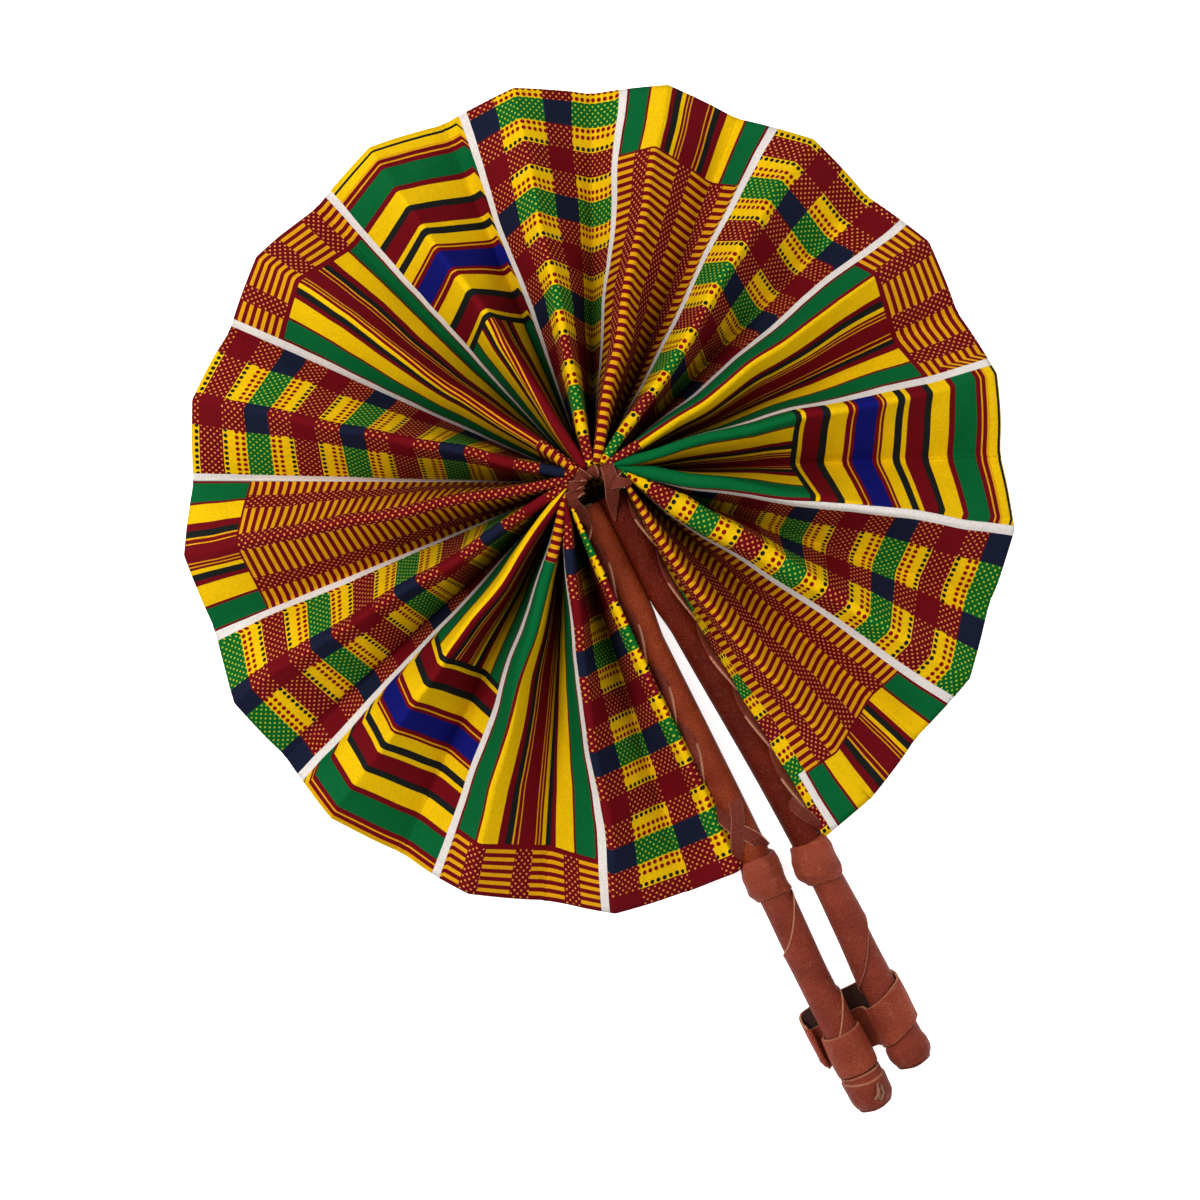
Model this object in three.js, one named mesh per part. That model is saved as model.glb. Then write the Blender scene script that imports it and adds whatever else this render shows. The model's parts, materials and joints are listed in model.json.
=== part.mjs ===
// A round cloth folding fan, lying open on a table: a pleated leaf gathered round a leather lacing,
// and two leather covered sticks that meet side by side when the fan is open.
// Millimetres. +Z is up, the sticks point towards -Y, and the table is the plane z = 0.
// The hub is at x = 0, y = 0 while the pieces are made; the whole fan is then set on its own box.
import * as THREE from 'three';
import { mergeVertices } from 'three/addons/utils/BufferGeometryUtils.js';

// Clearances
const FIT = 0.3; // between pieces that touch
const SEAM_GAP = 0.3; // between two pleats at their shared valley crease

// Leaf: doubled printed cotton, pleated into full pleats and one half pleat beside stick A
const CLOTH = 0.4; // thickness of the doubled cloth
const RIM_RADIUS = 147.5; // valley creases at the outer edge
const RIM_CENTRE_Y = -3.2;
const RIDGE_OVERHANG = 1.6; // how much further out a ridge reaches than a valley
// Valley creases, clockwise from the sticks, seen from above; pleated by hand, so a little uneven
const VALLEY_DEGREES = [14, 34.5, 56, 77.5, 98.5, 119.5, 141.5, 163, 184.5, 206, 227, 248.5, 269.5, 291, 312, 334];
const PLEATS = VALLEY_DEGREES.length + 1;
const RIM_RIDGE_HEIGHT = 12.6; // of a ridge above the table at the rim
const FIRST_RIDGE_SHARE = 0.16; // the first ridge lies close beside stick A
const FIRST_RIDGE_RIM_RISE = 3; // above the line where the cloth is laced to stick A
const LAST_RIDGE_SHARE = 0.56;
const CREASE_WIDTH = 0.5; // half width of a pressed ridge
const ROOT_WIDTH = 1.7; // least width of a pleat, where its inner end is cut square
const LEAF_STATIONS = 11;

// Horseshoe of valley ends round the hub
const HUB_HALF_WIDTH = 11.3;
const HUB_DEPTH = 8.5;
const HUB_CENTRE_Y = -1.5;
const RIDGE_SETBACK = 0.7; // ridges start this much further out than valleys

// Hub lacing: a leather thong, one turn over the inner end of each pleat
const RING_HOLE = 4.6;
const RING_LOW = 24.5;
const RING_HIGH = 30.6;
const RING_CROWN = 1.1;
const TAIL_LENGTH = 7;
const TAIL_WIDTH = 4.2;
const TAIL_THICKNESS = 1.2;

// Sticks: wooden cores in leather
const CORE_RADIUS_TOP = 3.3;
const CORE_RADIUS_TIP = 4.8;
const SLEEVE_WALL = 0.9;
const GRIP_WALL = 1.3;
const LEAF_LENGTH_ON_STICK = RIM_RADIUS - 5.5; // the laced edge of the cloth, from the stick's top end
const HUB_AXIS_HEIGHT = 15.5; // stick axis above the table at the hub
const TIP_AXIS_HEIGHT = 10.6; // and at the tip of stick A
const STICK_TOP_Y = -4;
const STICK_A_TIP_Y = -244.6;
const STICK_B_TIP_Y = -237.1;
const STICK_A_ROUTE = [[-5.6, STICK_TOP_Y], [-6.5, -50], [-7.6, -125], [-9.4, -200], [-10.1, STICK_A_TIP_Y]];
const STICK_B_ROUTE = [[5.6, STICK_TOP_Y], [5.9, -50], [9.9, -125], [10.9, -165], [10.4, -200], [9.4, STICK_B_TIP_Y]];
const ATTACH_RISE_A = 2; // where the leaf meets stick A, above its axis
const ATTACH_RISE_B = -1.5;
const ROUND_STEPS = 20;
const STATION = 20; // spacing of the cross-sections that the pieces on a stick share

// Whip lacing that binds the leaf to each stick
const LACE_WIDTH = 3.6;
const LACE_THICKNESS = 0.7;
const LACE_FIT = 0.25;
const LACE_PITCH = 20.5;
const LACE_START = 6;
const LACE_STEPS_PER_TURN = 18;

// Collars, keeper and end caps
const COLLAR_LENGTH_A = 15;
const COLLAR_LENGTH_B = 17.5;
const COLLAR_START = LEAF_LENGTH_ON_STICK + 2.6; // along the stick, from its top end
const COLLAR_RADIUS = 8.4;
const COLLAR_LIP = 1; // thickness of the band's edge
const CAP_LENGTH_A = 15;
const CAP_LENGTH_B = 10;
const CAP_WALL = 1.5;
const CAP_END = 1.4;
const CAP_ROUNDING = 0.6; // drawn in at the mouth
const CAP_NOSE = 1.9; // and at the closed end
const TAB_SETBACK = 9; // from the tip of stick A
const TAB_LENGTH = 8;
const TAB_WIDTH = 2.6;
const TAB_THICKNESS = 1;

// Closing strap: a flat leather loop round both sticks, and its keeper round stick A
const STRAP_WIDTH = 15.5;
const STRAP_THICKNESS = 1.1;
const STRAP_SLACK = 0.7; // between the strap and stick B
const STRAP_Y = -216.5;
const STRAP_SKEW = 4; // the back run lies this much nearer the hub, the front run as much further off
const KEEPER_LENGTH = 15.5;
const KEEPER_WALL = 1.1;
const KEEPER_SETBACK = 6.5; // its middle lies this much nearer the tip than the strap's

const LEATHER = new THREE.MeshStandardMaterial({ name: 'leather', color: 0x86402c, roughness: 0.62, metalness: 0 });
const DARK_LEATHER = new THREE.MeshStandardMaterial({ name: 'sleeve_leather', color: 0x7c3a20, roughness: 0.5, metalness: 0 });
const PALE_LEATHER = new THREE.MeshStandardMaterial({ name: 'pale_leather', color: 0xb98463, roughness: 0.75, metalness: 0 });
const CLOTH_PRINT = new THREE.MeshStandardMaterial({ name: 'cloth', color: 0xc9a013, roughness: 0.85, metalness: 0 });
const CLOTH_PRINT_2 = new THREE.MeshStandardMaterial({ name: 'cloth', color: 0x7a1826, roughness: 0.85, metalness: 0 });
const WOOD = new THREE.MeshStandardMaterial({ name: 'wood', color: 0xb08a5a, roughness: 0.7, metalness: 0 });

const fan = new THREE.Group();

function addPiece(name, geometry, material) {
  const mesh = new THREE.Mesh(facingOut(geometry), material);
  mesh.name = name;
  fan.add(mesh);
  return mesh;
}

// Six times the volume that a closed mesh holds, below zero where its faces point inwards
function signedVolume(geometry) {
  const position = geometry.getAttribute('position');
  const index = geometry.getIndex();
  const corner = [0, 1, 2].map(() => new THREE.Vector3());
  let volume = 0;
  for (let i = 0; i < index.count; i += 3) {
    corner.forEach((c, k) => c.fromBufferAttribute(position, index.getX(i + k)));
    volume += corner[0].dot(corner[1].clone().cross(corner[2]));
  }
  return volume;
}

function facingOut(geometry) {
  if (signedVolume(geometry) < 0) {
    const order = geometry.getIndex().array;
    geometry.setIndex(Array.from(order).reverse());
  }
  return geometry;
}

// A closed mesh from corner points and faces; each face is a list of corner numbers
function solidFrom(points, faces) {
  const geometry = new THREE.BufferGeometry();
  const positions = points.flatMap((p) => [p.x, p.y, p.z]);
  const triangles = faces.flatMap((f) => f.slice(2).flatMap((corner, i) => [f[0], f[i + 1], corner]));
  geometry.setAttribute('position', new THREE.Float32BufferAttribute(positions, 3));
  geometry.setIndex(triangles);
  return geometry;
}

// Joins cross-sections of equal length, each a closed ring of points, into a solid. A closed loft has
// no ends; an open one gets a cap at each end, made of the strip between its two halves. The second half
// of the ring is split along the opposite diagonals, so that two walls back to back bend alike.
function loft(rings, closed) {
  const size = rings[0].length;
  const points = rings.flat();
  const faces = [];
  const spans = closed ? rings.length : rings.length - 1;
  for (let i = 0; i < spans; i += 1) {
    const here = i * size;
    const next = ((i + 1) % rings.length) * size;
    for (let k = 0; k < size; k += 1) {
      const l = (k + 1) % size;
      if (k < size / 2) {
        faces.push([here + k, here + l, next + l, next + k]);
      } else {
        faces.push([here + l, next + l, next + k, here + k]);
      }
    }
  }
  if (!closed) {
    const last = (rings.length - 1) * size;
    for (let k = 0; k < size / 2 - 1; k += 1) {
      const across = size - 1 - k;
      faces.push([k, across, across - 1, k + 1]);
      faces.push([last + k, last + k + 1, last + across - 1, last + across]);
    }
  }
  return solidFrom(points, faces);
}

function mix(a, b, share) {
  return a + (b - a) * share;
}

// Sticks

class Stick {
  constructor(route) {
    const heightSlope = (TIP_AXIS_HEIGHT - HUB_AXIS_HEIGHT) / (STICK_TOP_Y - STICK_A_TIP_Y);
    const points = route.map(([x, y]) => {
      return new THREE.Vector3(x, y, HUB_AXIS_HEIGHT + heightSlope * (STICK_TOP_Y - y));
    });
    this.curve = new THREE.CatmullRomCurve3(points);
    this.length = this.curve.getLength();
  }

  // Place and directions at a distance along the axis from the top end; past an end it runs straight on
  frame(distance) {
    const share = THREE.MathUtils.clamp(distance / this.length, 0, 1);
    const along = this.curve.getTangentAt(share);
    const at = this.curve.getPointAt(share).addScaledVector(along, distance - share * this.length);
    const side = new THREE.Vector3().crossVectors(along, new THREE.Vector3(0, 0, 1)).normalize();
    const up = new THREE.Vector3().crossVectors(side, along);
    return { at, along, side, up };
  }

  // A point beside the axis: so far sideways (-X side is positive) and so far up
  point(distance, sideways, rise) {
    const { at, side, up } = this.frame(distance);
    return at.addScaledVector(side, sideways).addScaledVector(up, rise);
  }

  coreRadius(distance) {
    return mix(CORE_RADIUS_TOP, CORE_RADIUS_TIP, distance / this.length);
  }

  sleeveRadius(distance) {
    return this.coreRadius(distance) + FIT + SLEEVE_WALL;
  }

  gripRadius(distance) {
    return this.coreRadius(distance) + FIT + GRIP_WALL;
  }

  // From the axis to the cloth edge that is laced to this stick
  attachOffset(distance) {
    return this.sleeveRadius(distance) + LACE_FIT + LACE_THICKNESS + LACE_FIT;
  }

  // A turned shape whose profile is [radius, distance along the stick], bent to follow the axis
  turned(profile) {
    const outline = profile.map(([radius, distance]) => new THREE.Vector2(radius, distance));
    let geometry = new THREE.LatheGeometry(outline, ROUND_STEPS);
    geometry.deleteAttribute('normal');
    geometry.deleteAttribute('uv');
    geometry = mergeVertices(geometry, 1e-4);
    const position = geometry.getAttribute('position');
    for (let i = 0; i < position.count; i += 1) {
      const p = this.point(position.getY(i), position.getX(i), position.getZ(i));
      position.setXYZ(i, p.x, p.y, p.z);
    }
    return geometry;
  }

  // Both ends and the shared stations between them, so that pieces on one stick bend alike
  stations(from, to) {
    const shared = Array.from({ length: Math.ceil(this.length / STATION) }, (_, i) => i * STATION);
    return [from, ...shared.filter((d) => d > from + 1 && d < to - 1), to];
  }

  tube(innerAt, outerAt, from, to) {
    const stations = this.stations(from, to);
    const outer = stations.map((d) => [outerAt(d), d]);
    const inner = stations.map((d) => [innerAt(d), d]).reverse();
    return this.turned([...outer, ...inner, outer[0]]);
  }
}

function addStick(letter, stick, collarLength, capLength) {
  const name = `stick_${letter}`;
  const length = stick.length;
  const sleeveEnd = COLLAR_START + collarLength / 2 - FIT;
  const gripStart = sleeveEnd + FIT;
  addPiece(`${name}_core`, stick.turned([
    [0, 0],
    [CORE_RADIUS_TOP * 0.7, 0],
    ...stick.stations(1, length - 1).map((d) => [stick.coreRadius(d), d]),
    [CORE_RADIUS_TIP * 0.7, length],
    [0, length],
  ]), WOOD);
  const inner = (d) => stick.coreRadius(d) + FIT;
  addPiece(`${name}_sleeve`, stick.tube(inner, (d) => stick.sleeveRadius(d), 0.8, sleeveEnd), DARK_LEATHER);
  addPiece(`${name}_grip`, stick.tube(inner, (d) => stick.gripRadius(d), gripStart, length - 0.5), LEATHER);

  // The collar is a leather band wound over the joint between the sleeve and the grip
  const collarEnd = COLLAR_START + collarLength;
  const bore = stick.gripRadius(collarEnd) + FIT;
  addPiece(`${name}_collar`, stick.turned([
    [bore, COLLAR_START],
    [bore, collarEnd],
    [bore + COLLAR_LIP, collarEnd],
    [COLLAR_RADIUS - 0.2, collarEnd - 0.28 * collarLength],
    [COLLAR_RADIUS, COLLAR_START + 0.45 * collarLength],
    [COLLAR_RADIUS - 0.5, COLLAR_START + 0.15 * collarLength],
    [COLLAR_RADIUS - COLLAR_LIP, COLLAR_START],
    [bore, COLLAR_START],
  ].reverse()), LEATHER);

  // The cap is a leather cup gathered over the tip
  const mouth = length + FIT + CAP_END - capLength;
  const capBore = stick.gripRadius(length) + FIT;
  addPiece(`${name}_cap`, stick.turned([
    [0, length + FIT + CAP_END],
    [capBore + CAP_WALL - CAP_NOSE, length + FIT + CAP_END],
    [capBore + CAP_WALL - CAP_ROUNDING, length],
    [capBore + CAP_WALL, length - 0.3 * capLength],
    [capBore + CAP_WALL, length - 0.6 * capLength],
    [capBore + CAP_WALL - CAP_ROUNDING, mouth],
    [capBore, mouth],
    [capBore, length + FIT],
    [0, length + FIT],
  ].reverse()), LEATHER);
}

// The smallest distance between two turns of a strip, from its centre points and its width
function leastGap(centres, width, skip) {
  let least = Infinity;
  for (let i = 0; i < centres.length; i += 1) {
    for (let k = i + skip; k < centres.length; k += 1) {
      least = Math.min(least, centres[i].distanceTo(centres[k]) - width);
    }
  }
  return least;
}

function addWhipLacing(letter, stick) {
  const end = COLLAR_START - FIT - LACE_WIDTH / 2;
  const turns = (end - LACE_START) / LACE_PITCH;
  const steps = Math.round(turns * LACE_STEPS_PER_TURN);
  const rings = [];
  const centres = [];
  for (let i = 0; i <= steps; i += 1) {
    const distance = mix(LACE_START, end, i / steps);
    const turn = Math.PI * 2 * ((distance - LACE_START) / LACE_PITCH);
    const low = stick.sleeveRadius(distance) + LACE_FIT;
    const corner = (shift, radius) => {
      const place = distance + shift;
      return stick.point(place, Math.cos(turn) * radius, Math.sin(turn) * radius);
    };
    const half = LACE_WIDTH / 2;
    const high = low + LACE_THICKNESS;
    rings.push([corner(-half, low), corner(-half, high), corner(half, high), corner(half, low)]);
    centres.push(corner(0, (low + high) / 2));
  }
  console.log(`stick ${letter} lacing: ${turns.toFixed(2)} turns, least gap to itself `
    + `${leastGap(centres, LACE_WIDTH, Math.round(LACE_STEPS_PER_TURN * 0.75)).toFixed(2)} mm`);
  addPiece(`stick_${letter}_lacing`, loft(rings, false), LEATHER);
}

// Leaf

// A point of the horseshoe at seam number j, which may be a half number, set outwards by grow
function hubPoint(j, grow) {
  const turn = (Math.PI * j) / PLEATS;
  const x = -(HUB_HALF_WIDTH + grow) * Math.cos(turn);
  const y = HUB_CENTRE_Y + (HUB_DEPTH + grow) * Math.sin(turn);
  return new THREE.Vector3(x, y, 0);
}

function rimPoint(degrees, radius) {
  const turn = THREE.MathUtils.degToRad(degrees);
  return new THREE.Vector3(-Math.sin(turn) * radius, RIM_CENTRE_Y - Math.cos(turn) * radius, 0);
}

// How far along its two seams, as shares of them, pleat j starts: its inner end is cut square to its
// own middle line, and further out where the seams leave the hub side by side
function rootShares(j, sticks) {
  const level = (p) => new THREE.Vector2(p.x, p.y);
  const [left, right] = [j - 1, j].map((seam) => {
    const from = level(seamPoint(seam, 0, sticks));
    return { from, run: level(seamPoint(seam, 1, sticks)).sub(from) };
  });
  const middle = left.run.clone().normalize().add(right.run.clone().normalize()).normalize();
  const across = new THREE.Vector2(middle.y, -middle.x);
  const shareAt = (seam, station) => (station - seam.from.dot(middle)) / seam.run.dot(middle);
  const pointAt = (seam, station) => seam.from.clone().addScaledVector(seam.run, shareAt(seam, station));
  const widthAt = (station) => Math.abs(pointAt(right, station).sub(pointAt(left, station)).dot(across));
  let station = Math.max(left.from.dot(middle), right.from.dot(middle));
  const growth = widthAt(station + 1) - widthAt(station);
  station += Math.max(0, (ROOT_WIDTH - widthAt(station)) / growth);
  return [shareAt(left, station), shareAt(right, station)];
}

// Where seam j lies at share t of the way from the hub to the rim
function seamPoint(j, t, sticks) {
  if (j === 0 || j === PLEATS) {
    const [stick, side, rise] = j === 0 ? [sticks.a, 1, ATTACH_RISE_A] : [sticks.b, -1, ATTACH_RISE_B];
    const distance = t * LEAF_LENGTH_ON_STICK;
    return stick.point(distance, side * stick.attachOffset(distance), rise);
  }
  return hubPoint(j, 0).lerp(rimPoint(VALLEY_DEGREES[j - 1], RIM_RADIUS), t);
}

const MEAN_PITCH_DEG = (VALLEY_DEGREES.at(-1) - VALLEY_DEGREES[0]) / (PLEATS - 2);
const RIM_PITCH = 2 * RIM_RADIUS * Math.sin(THREE.MathUtils.degToRad(MEAN_PITCH_DEG / 2));
const HUB_PITCH = (Math.PI * (HUB_HALF_WIDTH + HUB_DEPTH)) / 2 / PLEATS;
const PANEL_WIDTH = Math.hypot(RIM_PITCH / 2, RIM_RIDGE_HEIGHT); // of cloth, from a valley to the next ridge

// Height of a ridge above the table where the pleat is so wide
function ridgeHeight(width) {
  return Math.sqrt(PANEL_WIDTH ** 2 - (width / 2) ** 2);
}

// One pleat between two seams, from the hub to the rim, as a thin tent of cloth
function pleatGeometry(j, sticks) {
  const rings = [];
  const radial = seamPoint(j, 1, sticks).sub(seamPoint(j, 0, sticks));
  const [startRoot, endRoot] = rootShares(j, sticks);
  for (let i = 0; i < LEAF_STATIONS; i += 1) {
    const t = i / (LEAF_STATIONS - 1);
    const start = seamPoint(j - 1, mix(startRoot, 1, t), sticks);
    const end = seamPoint(j, mix(endRoot, 1, t), sticks);
    const level = new THREE.Vector3(end.x - start.x, end.y - start.y, 0);
    const width = level.length();
    const across = level.divideScalar(width);
    let share = 0.5;
    let height = ridgeHeight(mix(HUB_PITCH, RIM_PITCH, t));
    if (j === 1) {
      share = FIRST_RIDGE_SHARE;
      height = mix(height, start.z + FIRST_RIDGE_RIM_RISE, t);
    }
    if (j === PLEATS) share = LAST_RIDGE_SHARE;
    const setback = mix(RIDGE_SETBACK, RIDGE_OVERHANG, t);
    const outwards = new THREE.Vector3(across.y, -across.x, 0);
    if (outwards.dot(radial) < 0) outwards.negate();
    const section = tentSection(width, start.z, end.z, share * width, height);
    const ring = section.map(([u, z, lean]) => {
      return new THREE.Vector3(start.x, start.y, z).addScaledVector(across, u).addScaledVector(outwards, lean * setback);
    });
    rings.push(ring);
  }
  return loft(rings, false);
}

// The closed outline of a tent of cloth, as [along the ground, height, share of the ridge's setback].
// It runs up one outer face and down the other, and back along the inside.
function tentSection(width, startHeight, endHeight, ridgeAt, ridgeTop) {
  const edge = SEAM_GAP / 2;
  const half = Math.min(CREASE_WIDTH, 0.16 * width);
  const outer = [
    [edge, startHeight],
    [ridgeAt - half, ridgeTop],
    [ridgeAt + half, ridgeTop],
    [width - edge, endHeight],
  ];
  const left = innerWall(outer[0], outer[1], 1);
  const right = innerWall(outer[3], outer[2], -1);
  // The two inner walls meet under the ridge, or stop a cloth's thickness below it
  const gapAtGround = right.at(0) - left.at(0);
  const gapAtTop = right.at(ridgeTop) - left.at(ridgeTop);
  const meeting = gapAtTop > 0 ? ridgeTop : (ridgeTop * gapAtGround) / (gapAtGround - gapAtTop);
  const roof = Math.min(ridgeTop - CLOTH, meeting - 0.6);
  const inner = [
    right.foot,
    [right.at(roof), roof],
    [left.at(roof), roof],
    left.foot,
  ];
  return [...outer, ...inner].map(([u, z]) => [u, z, Math.max(0, z / ridgeTop)]);
}

// The line a cloth's thickness inside an outer wall that climbs from foot to top. side is 1 where the
// inside is towards greater u. The foot on the table is cut level.
function innerWall(foot, top, side) {
  const run = top[0] - foot[0];
  const rise = top[1] - foot[1];
  const slant = Math.hypot(run, rise);
  const shiftU = (side * CLOTH * rise) / slant;
  const shiftZ = (-side * CLOTH * run) / slant;
  const perHeight = run / rise;
  const at = (height) => foot[0] + shiftU + perHeight * (height - foot[1] - shiftZ);
  const onTable = foot[1] <= 0;
  return { at, foot: onTable ? [at(0), 0] : [foot[0] + shiftU, foot[1] + shiftZ] };
}

// One turn of the hub thong: a crowned block between the ring's hole and the ends of a pleat
function hubTurnGeometry(j) {
  const holePoint = (seam) => {
    const turn = (Math.PI * seam) / PLEATS;
    return new THREE.Vector3(-RING_HOLE * Math.cos(turn), RING_HOLE * Math.sin(turn) - 0.3, 0);
  };
  const side = (seam, towards) => {
    const inner = holePoint(seam);
    const outer = hubPoint(seam, -0.1);
    const shift = holePoint(towards).add(hubPoint(towards, 0)).sub(inner).sub(outer).setLength(FIT / 2);
    const middle = inner.clone().lerp(outer, 0.5);
    const place = (p, height) => p.clone().add(shift).setZ(height);
    return [
      place(inner, RING_LOW),
      place(inner, RING_HIGH - RING_CROWN),
      place(middle, RING_HIGH),
      place(outer, RING_HIGH - RING_CROWN),
      place(outer, RING_LOW),
      place(middle, RING_LOW - 0.2),
    ];
  };
  return loft([side(j - 1, j), side(j, j - 1)], false);
}

// Closing strap

// The strap's route in the plane across the sticks, as [x, z, share of the skew towards the hub].
// It starts under stick A, runs behind both sticks, over stick B, down between them, back under stick A
// and round through the bight at the left.
function strapRoute(a, b, gripA, gripB) {
  const low = STRAP_THICKNESS / 2;
  const second = low + STRAP_THICKNESS + FIT;
  const reach = gripB + STRAP_SLACK + STRAP_THICKNESS / 2;
  const left = a.x - gripA - KEEPER_WALL - FIT;
  return [
    [a.x, low, 1],
    [b.x - 2, low, 1],
    [b.x + reach * 0.72, low + 1.2, 0.9],
    [b.x + reach, b.z - 3.5, 0.8],
    [b.x + reach, b.z + 2, 0.5],
    [b.x + reach * 0.62, b.z + reach * 0.79, 0.2],
    [b.x, b.z + reach, -0.2],
    [b.x - reach * 0.66, b.z + reach * 0.76, -0.6],
    [b.x - reach, b.z + 1, -0.9],
    [b.x - reach - 0.3, b.z - 4.5, -1],
    [b.x - reach - 2.2, second + 0.8, -1],
    [a.x + 1, second, -1],
    [left + 1.5, second, -0.9],
    [left - 1.8, second + 1.6, -0.8],
    [left - 2.6, second + 5, -0.7],
    [left - 4.8, second + 7, -0.3],
    [left - 6.6, second + 4.4, 0.1],
    [left - 6.2, low + 1.5, 0.5],
    [left - 3.6, low, 0.8],
  ];
}

const STRAP_STEPS = 72;

function strapGeometry(sticks) {
  const distance = STICK_TOP_Y - STRAP_Y;
  const a = sticks.a.frame(distance).at;
  const b = sticks.b.frame(distance).at;
  const gripA = sticks.a.gripRadius(distance);
  const gripB = sticks.b.gripRadius(distance);
  const route = strapRoute(a, b, gripA, gripB);
  const points = route.map(([x, z, skew]) => new THREE.Vector3(x, STRAP_Y + skew * STRAP_SKEW, z));
  const curve = new THREE.CatmullRomCurve3(points, true, 'centripetal');
  const rings = [];
  for (let i = 0; i < STRAP_STEPS; i += 1) {
    const share = i / STRAP_STEPS;
    const centre = curve.getPointAt(share);
    centre.z = Math.max(centre.z, STRAP_THICKNESS / 2);
    const along = curve.getTangentAt(share).setY(0).normalize();
    if (centre.z === STRAP_THICKNESS / 2) along.setZ(0).normalize();
    const outwards = new THREE.Vector3(along.z, 0, -along.x).multiplyScalar(STRAP_THICKNESS / 2);
    const half = new THREE.Vector3(0, STRAP_WIDTH / 2, 0);
    rings.push([
      centre.clone().sub(outwards).sub(half),
      centre.clone().add(outwards).sub(half),
      centre.clone().add(outwards).add(half),
      centre.clone().sub(outwards).add(half),
    ]);
  }
  return loft(rings, true);
}

// Small leather ends

// A flat tab with cut ends, from one point towards another, lying square to up
function tabGeometry(from, towards, up, length, width, thickness) {
  const along = towards.clone().sub(from).normalize();
  const side = new THREE.Vector3().crossVectors(along, up).normalize().multiplyScalar(width / 2);
  const lift = new THREE.Vector3().crossVectors(side, along).setLength(thickness);
  const rings = [0, 0.35, 0.7, 1].map((share) => {
    const bend = Math.sin(share * Math.PI) * thickness * 0.5;
    const at = from.clone().addScaledVector(along, share * length).addScaledVector(lift, bend / thickness);
    const narrow = 1 - 0.25 * share;
    return [
      at.clone().addScaledVector(side, narrow),
      at.clone().addScaledVector(side, narrow).add(lift),
      at.clone().addScaledVector(side, -narrow).add(lift),
      at.clone().addScaledVector(side, -narrow),
    ];
  });
  return loft(rings, false);
}

// Assembly

const sticks = { a: new Stick(STICK_A_ROUTE), b: new Stick(STICK_B_ROUTE) };
addStick('a', sticks.a, COLLAR_LENGTH_A, CAP_LENGTH_A);
addStick('b', sticks.b, COLLAR_LENGTH_B, CAP_LENGTH_B);
addWhipLacing('a', sticks.a);
addWhipLacing('b', sticks.b);

for (let j = 1; j <= PLEATS; j += 1) {
  const number = String(j).padStart(2, '0');
  addPiece(`pleat_${number}`, pleatGeometry(j, sticks), j % 2 ? CLOTH_PRINT : CLOTH_PRINT_2);
  addPiece(`hub_lace_${number}`, hubTurnGeometry(j), LEATHER);
}

const keeperMiddle = STICK_TOP_Y - STRAP_Y + KEEPER_SETBACK;
const keeperBore = (d) => sticks.a.gripRadius(d) + FIT;
addPiece('strap_keeper', sticks.a.tube(
  keeperBore,
  (d) => keeperBore(d) + KEEPER_WALL,
  keeperMiddle - KEEPER_LENGTH / 2,
  keeperMiddle + KEEPER_LENGTH / 2,
), LEATHER);
addPiece('closing_strap', strapGeometry(sticks), LEATHER);

const up = new THREE.Vector3(0, 0, 1);
const tabDistance = sticks.a.length - TAB_SETBACK;
const capTop = sticks.a.gripRadius(sticks.a.length) + FIT + CAP_WALL + FIT;
addPiece('stick_a_cap_tab', tabGeometry(
  sticks.a.point(tabDistance, -1, capTop),
  sticks.a.point(tabDistance - 5, -6, capTop),
  up,
  TAB_LENGTH,
  TAB_WIDTH,
  TAB_THICKNESS,
), PALE_LEATHER);

const tailRoot = hubPoint(PLEATS, -2.4).setZ(RING_HIGH + FIT);
addPiece('hub_lace_tail', tabGeometry(
  tailRoot.clone().add(new THREE.Vector3(0.6, 1.5, 0)),
  tailRoot.clone().add(new THREE.Vector3(5, -1, 0)),
  up,
  TAIL_LENGTH,
  TAIL_WIDTH,
  TAIL_THICKNESS,
), LEATHER);

// The fan stands on the table with the middle of its own box over the origin
const box = new THREE.Box3();
fan.children.forEach((mesh) => {
  mesh.geometry.computeBoundingBox();
  box.union(mesh.geometry.boundingBox);
});
const middle = box.getCenter(new THREE.Vector3());
fan.position.set(-middle.x, -middle.y, -box.min.z);

export default fan;
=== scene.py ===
# A round cloth folding fan, lying open on a table and seen from straight above.
# Lengths are millimetres in the fan's own frame: the hub is at x = 0, y = 0, the two sticks point
# towards -Y, and the table is z = 0. place() turns them into metres in the row frame.
import json
import math

import bpy
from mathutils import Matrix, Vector, noise


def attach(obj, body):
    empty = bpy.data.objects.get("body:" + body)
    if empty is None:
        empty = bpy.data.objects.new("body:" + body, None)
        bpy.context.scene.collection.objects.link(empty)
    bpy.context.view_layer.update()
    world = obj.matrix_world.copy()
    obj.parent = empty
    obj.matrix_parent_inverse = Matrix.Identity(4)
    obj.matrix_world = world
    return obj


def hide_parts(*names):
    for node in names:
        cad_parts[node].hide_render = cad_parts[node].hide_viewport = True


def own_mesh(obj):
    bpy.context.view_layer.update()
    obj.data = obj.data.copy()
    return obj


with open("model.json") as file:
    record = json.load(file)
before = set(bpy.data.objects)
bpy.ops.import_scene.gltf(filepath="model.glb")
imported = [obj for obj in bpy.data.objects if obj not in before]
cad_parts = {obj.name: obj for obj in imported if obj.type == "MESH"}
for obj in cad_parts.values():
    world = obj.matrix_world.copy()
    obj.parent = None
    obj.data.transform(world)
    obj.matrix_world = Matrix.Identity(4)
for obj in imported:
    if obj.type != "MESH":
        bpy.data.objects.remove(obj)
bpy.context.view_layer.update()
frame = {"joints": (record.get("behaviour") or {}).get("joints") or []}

MM = 0.001
HUB = (-0.4547, 51.3162)  # where the hub lies in the row frame

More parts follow.
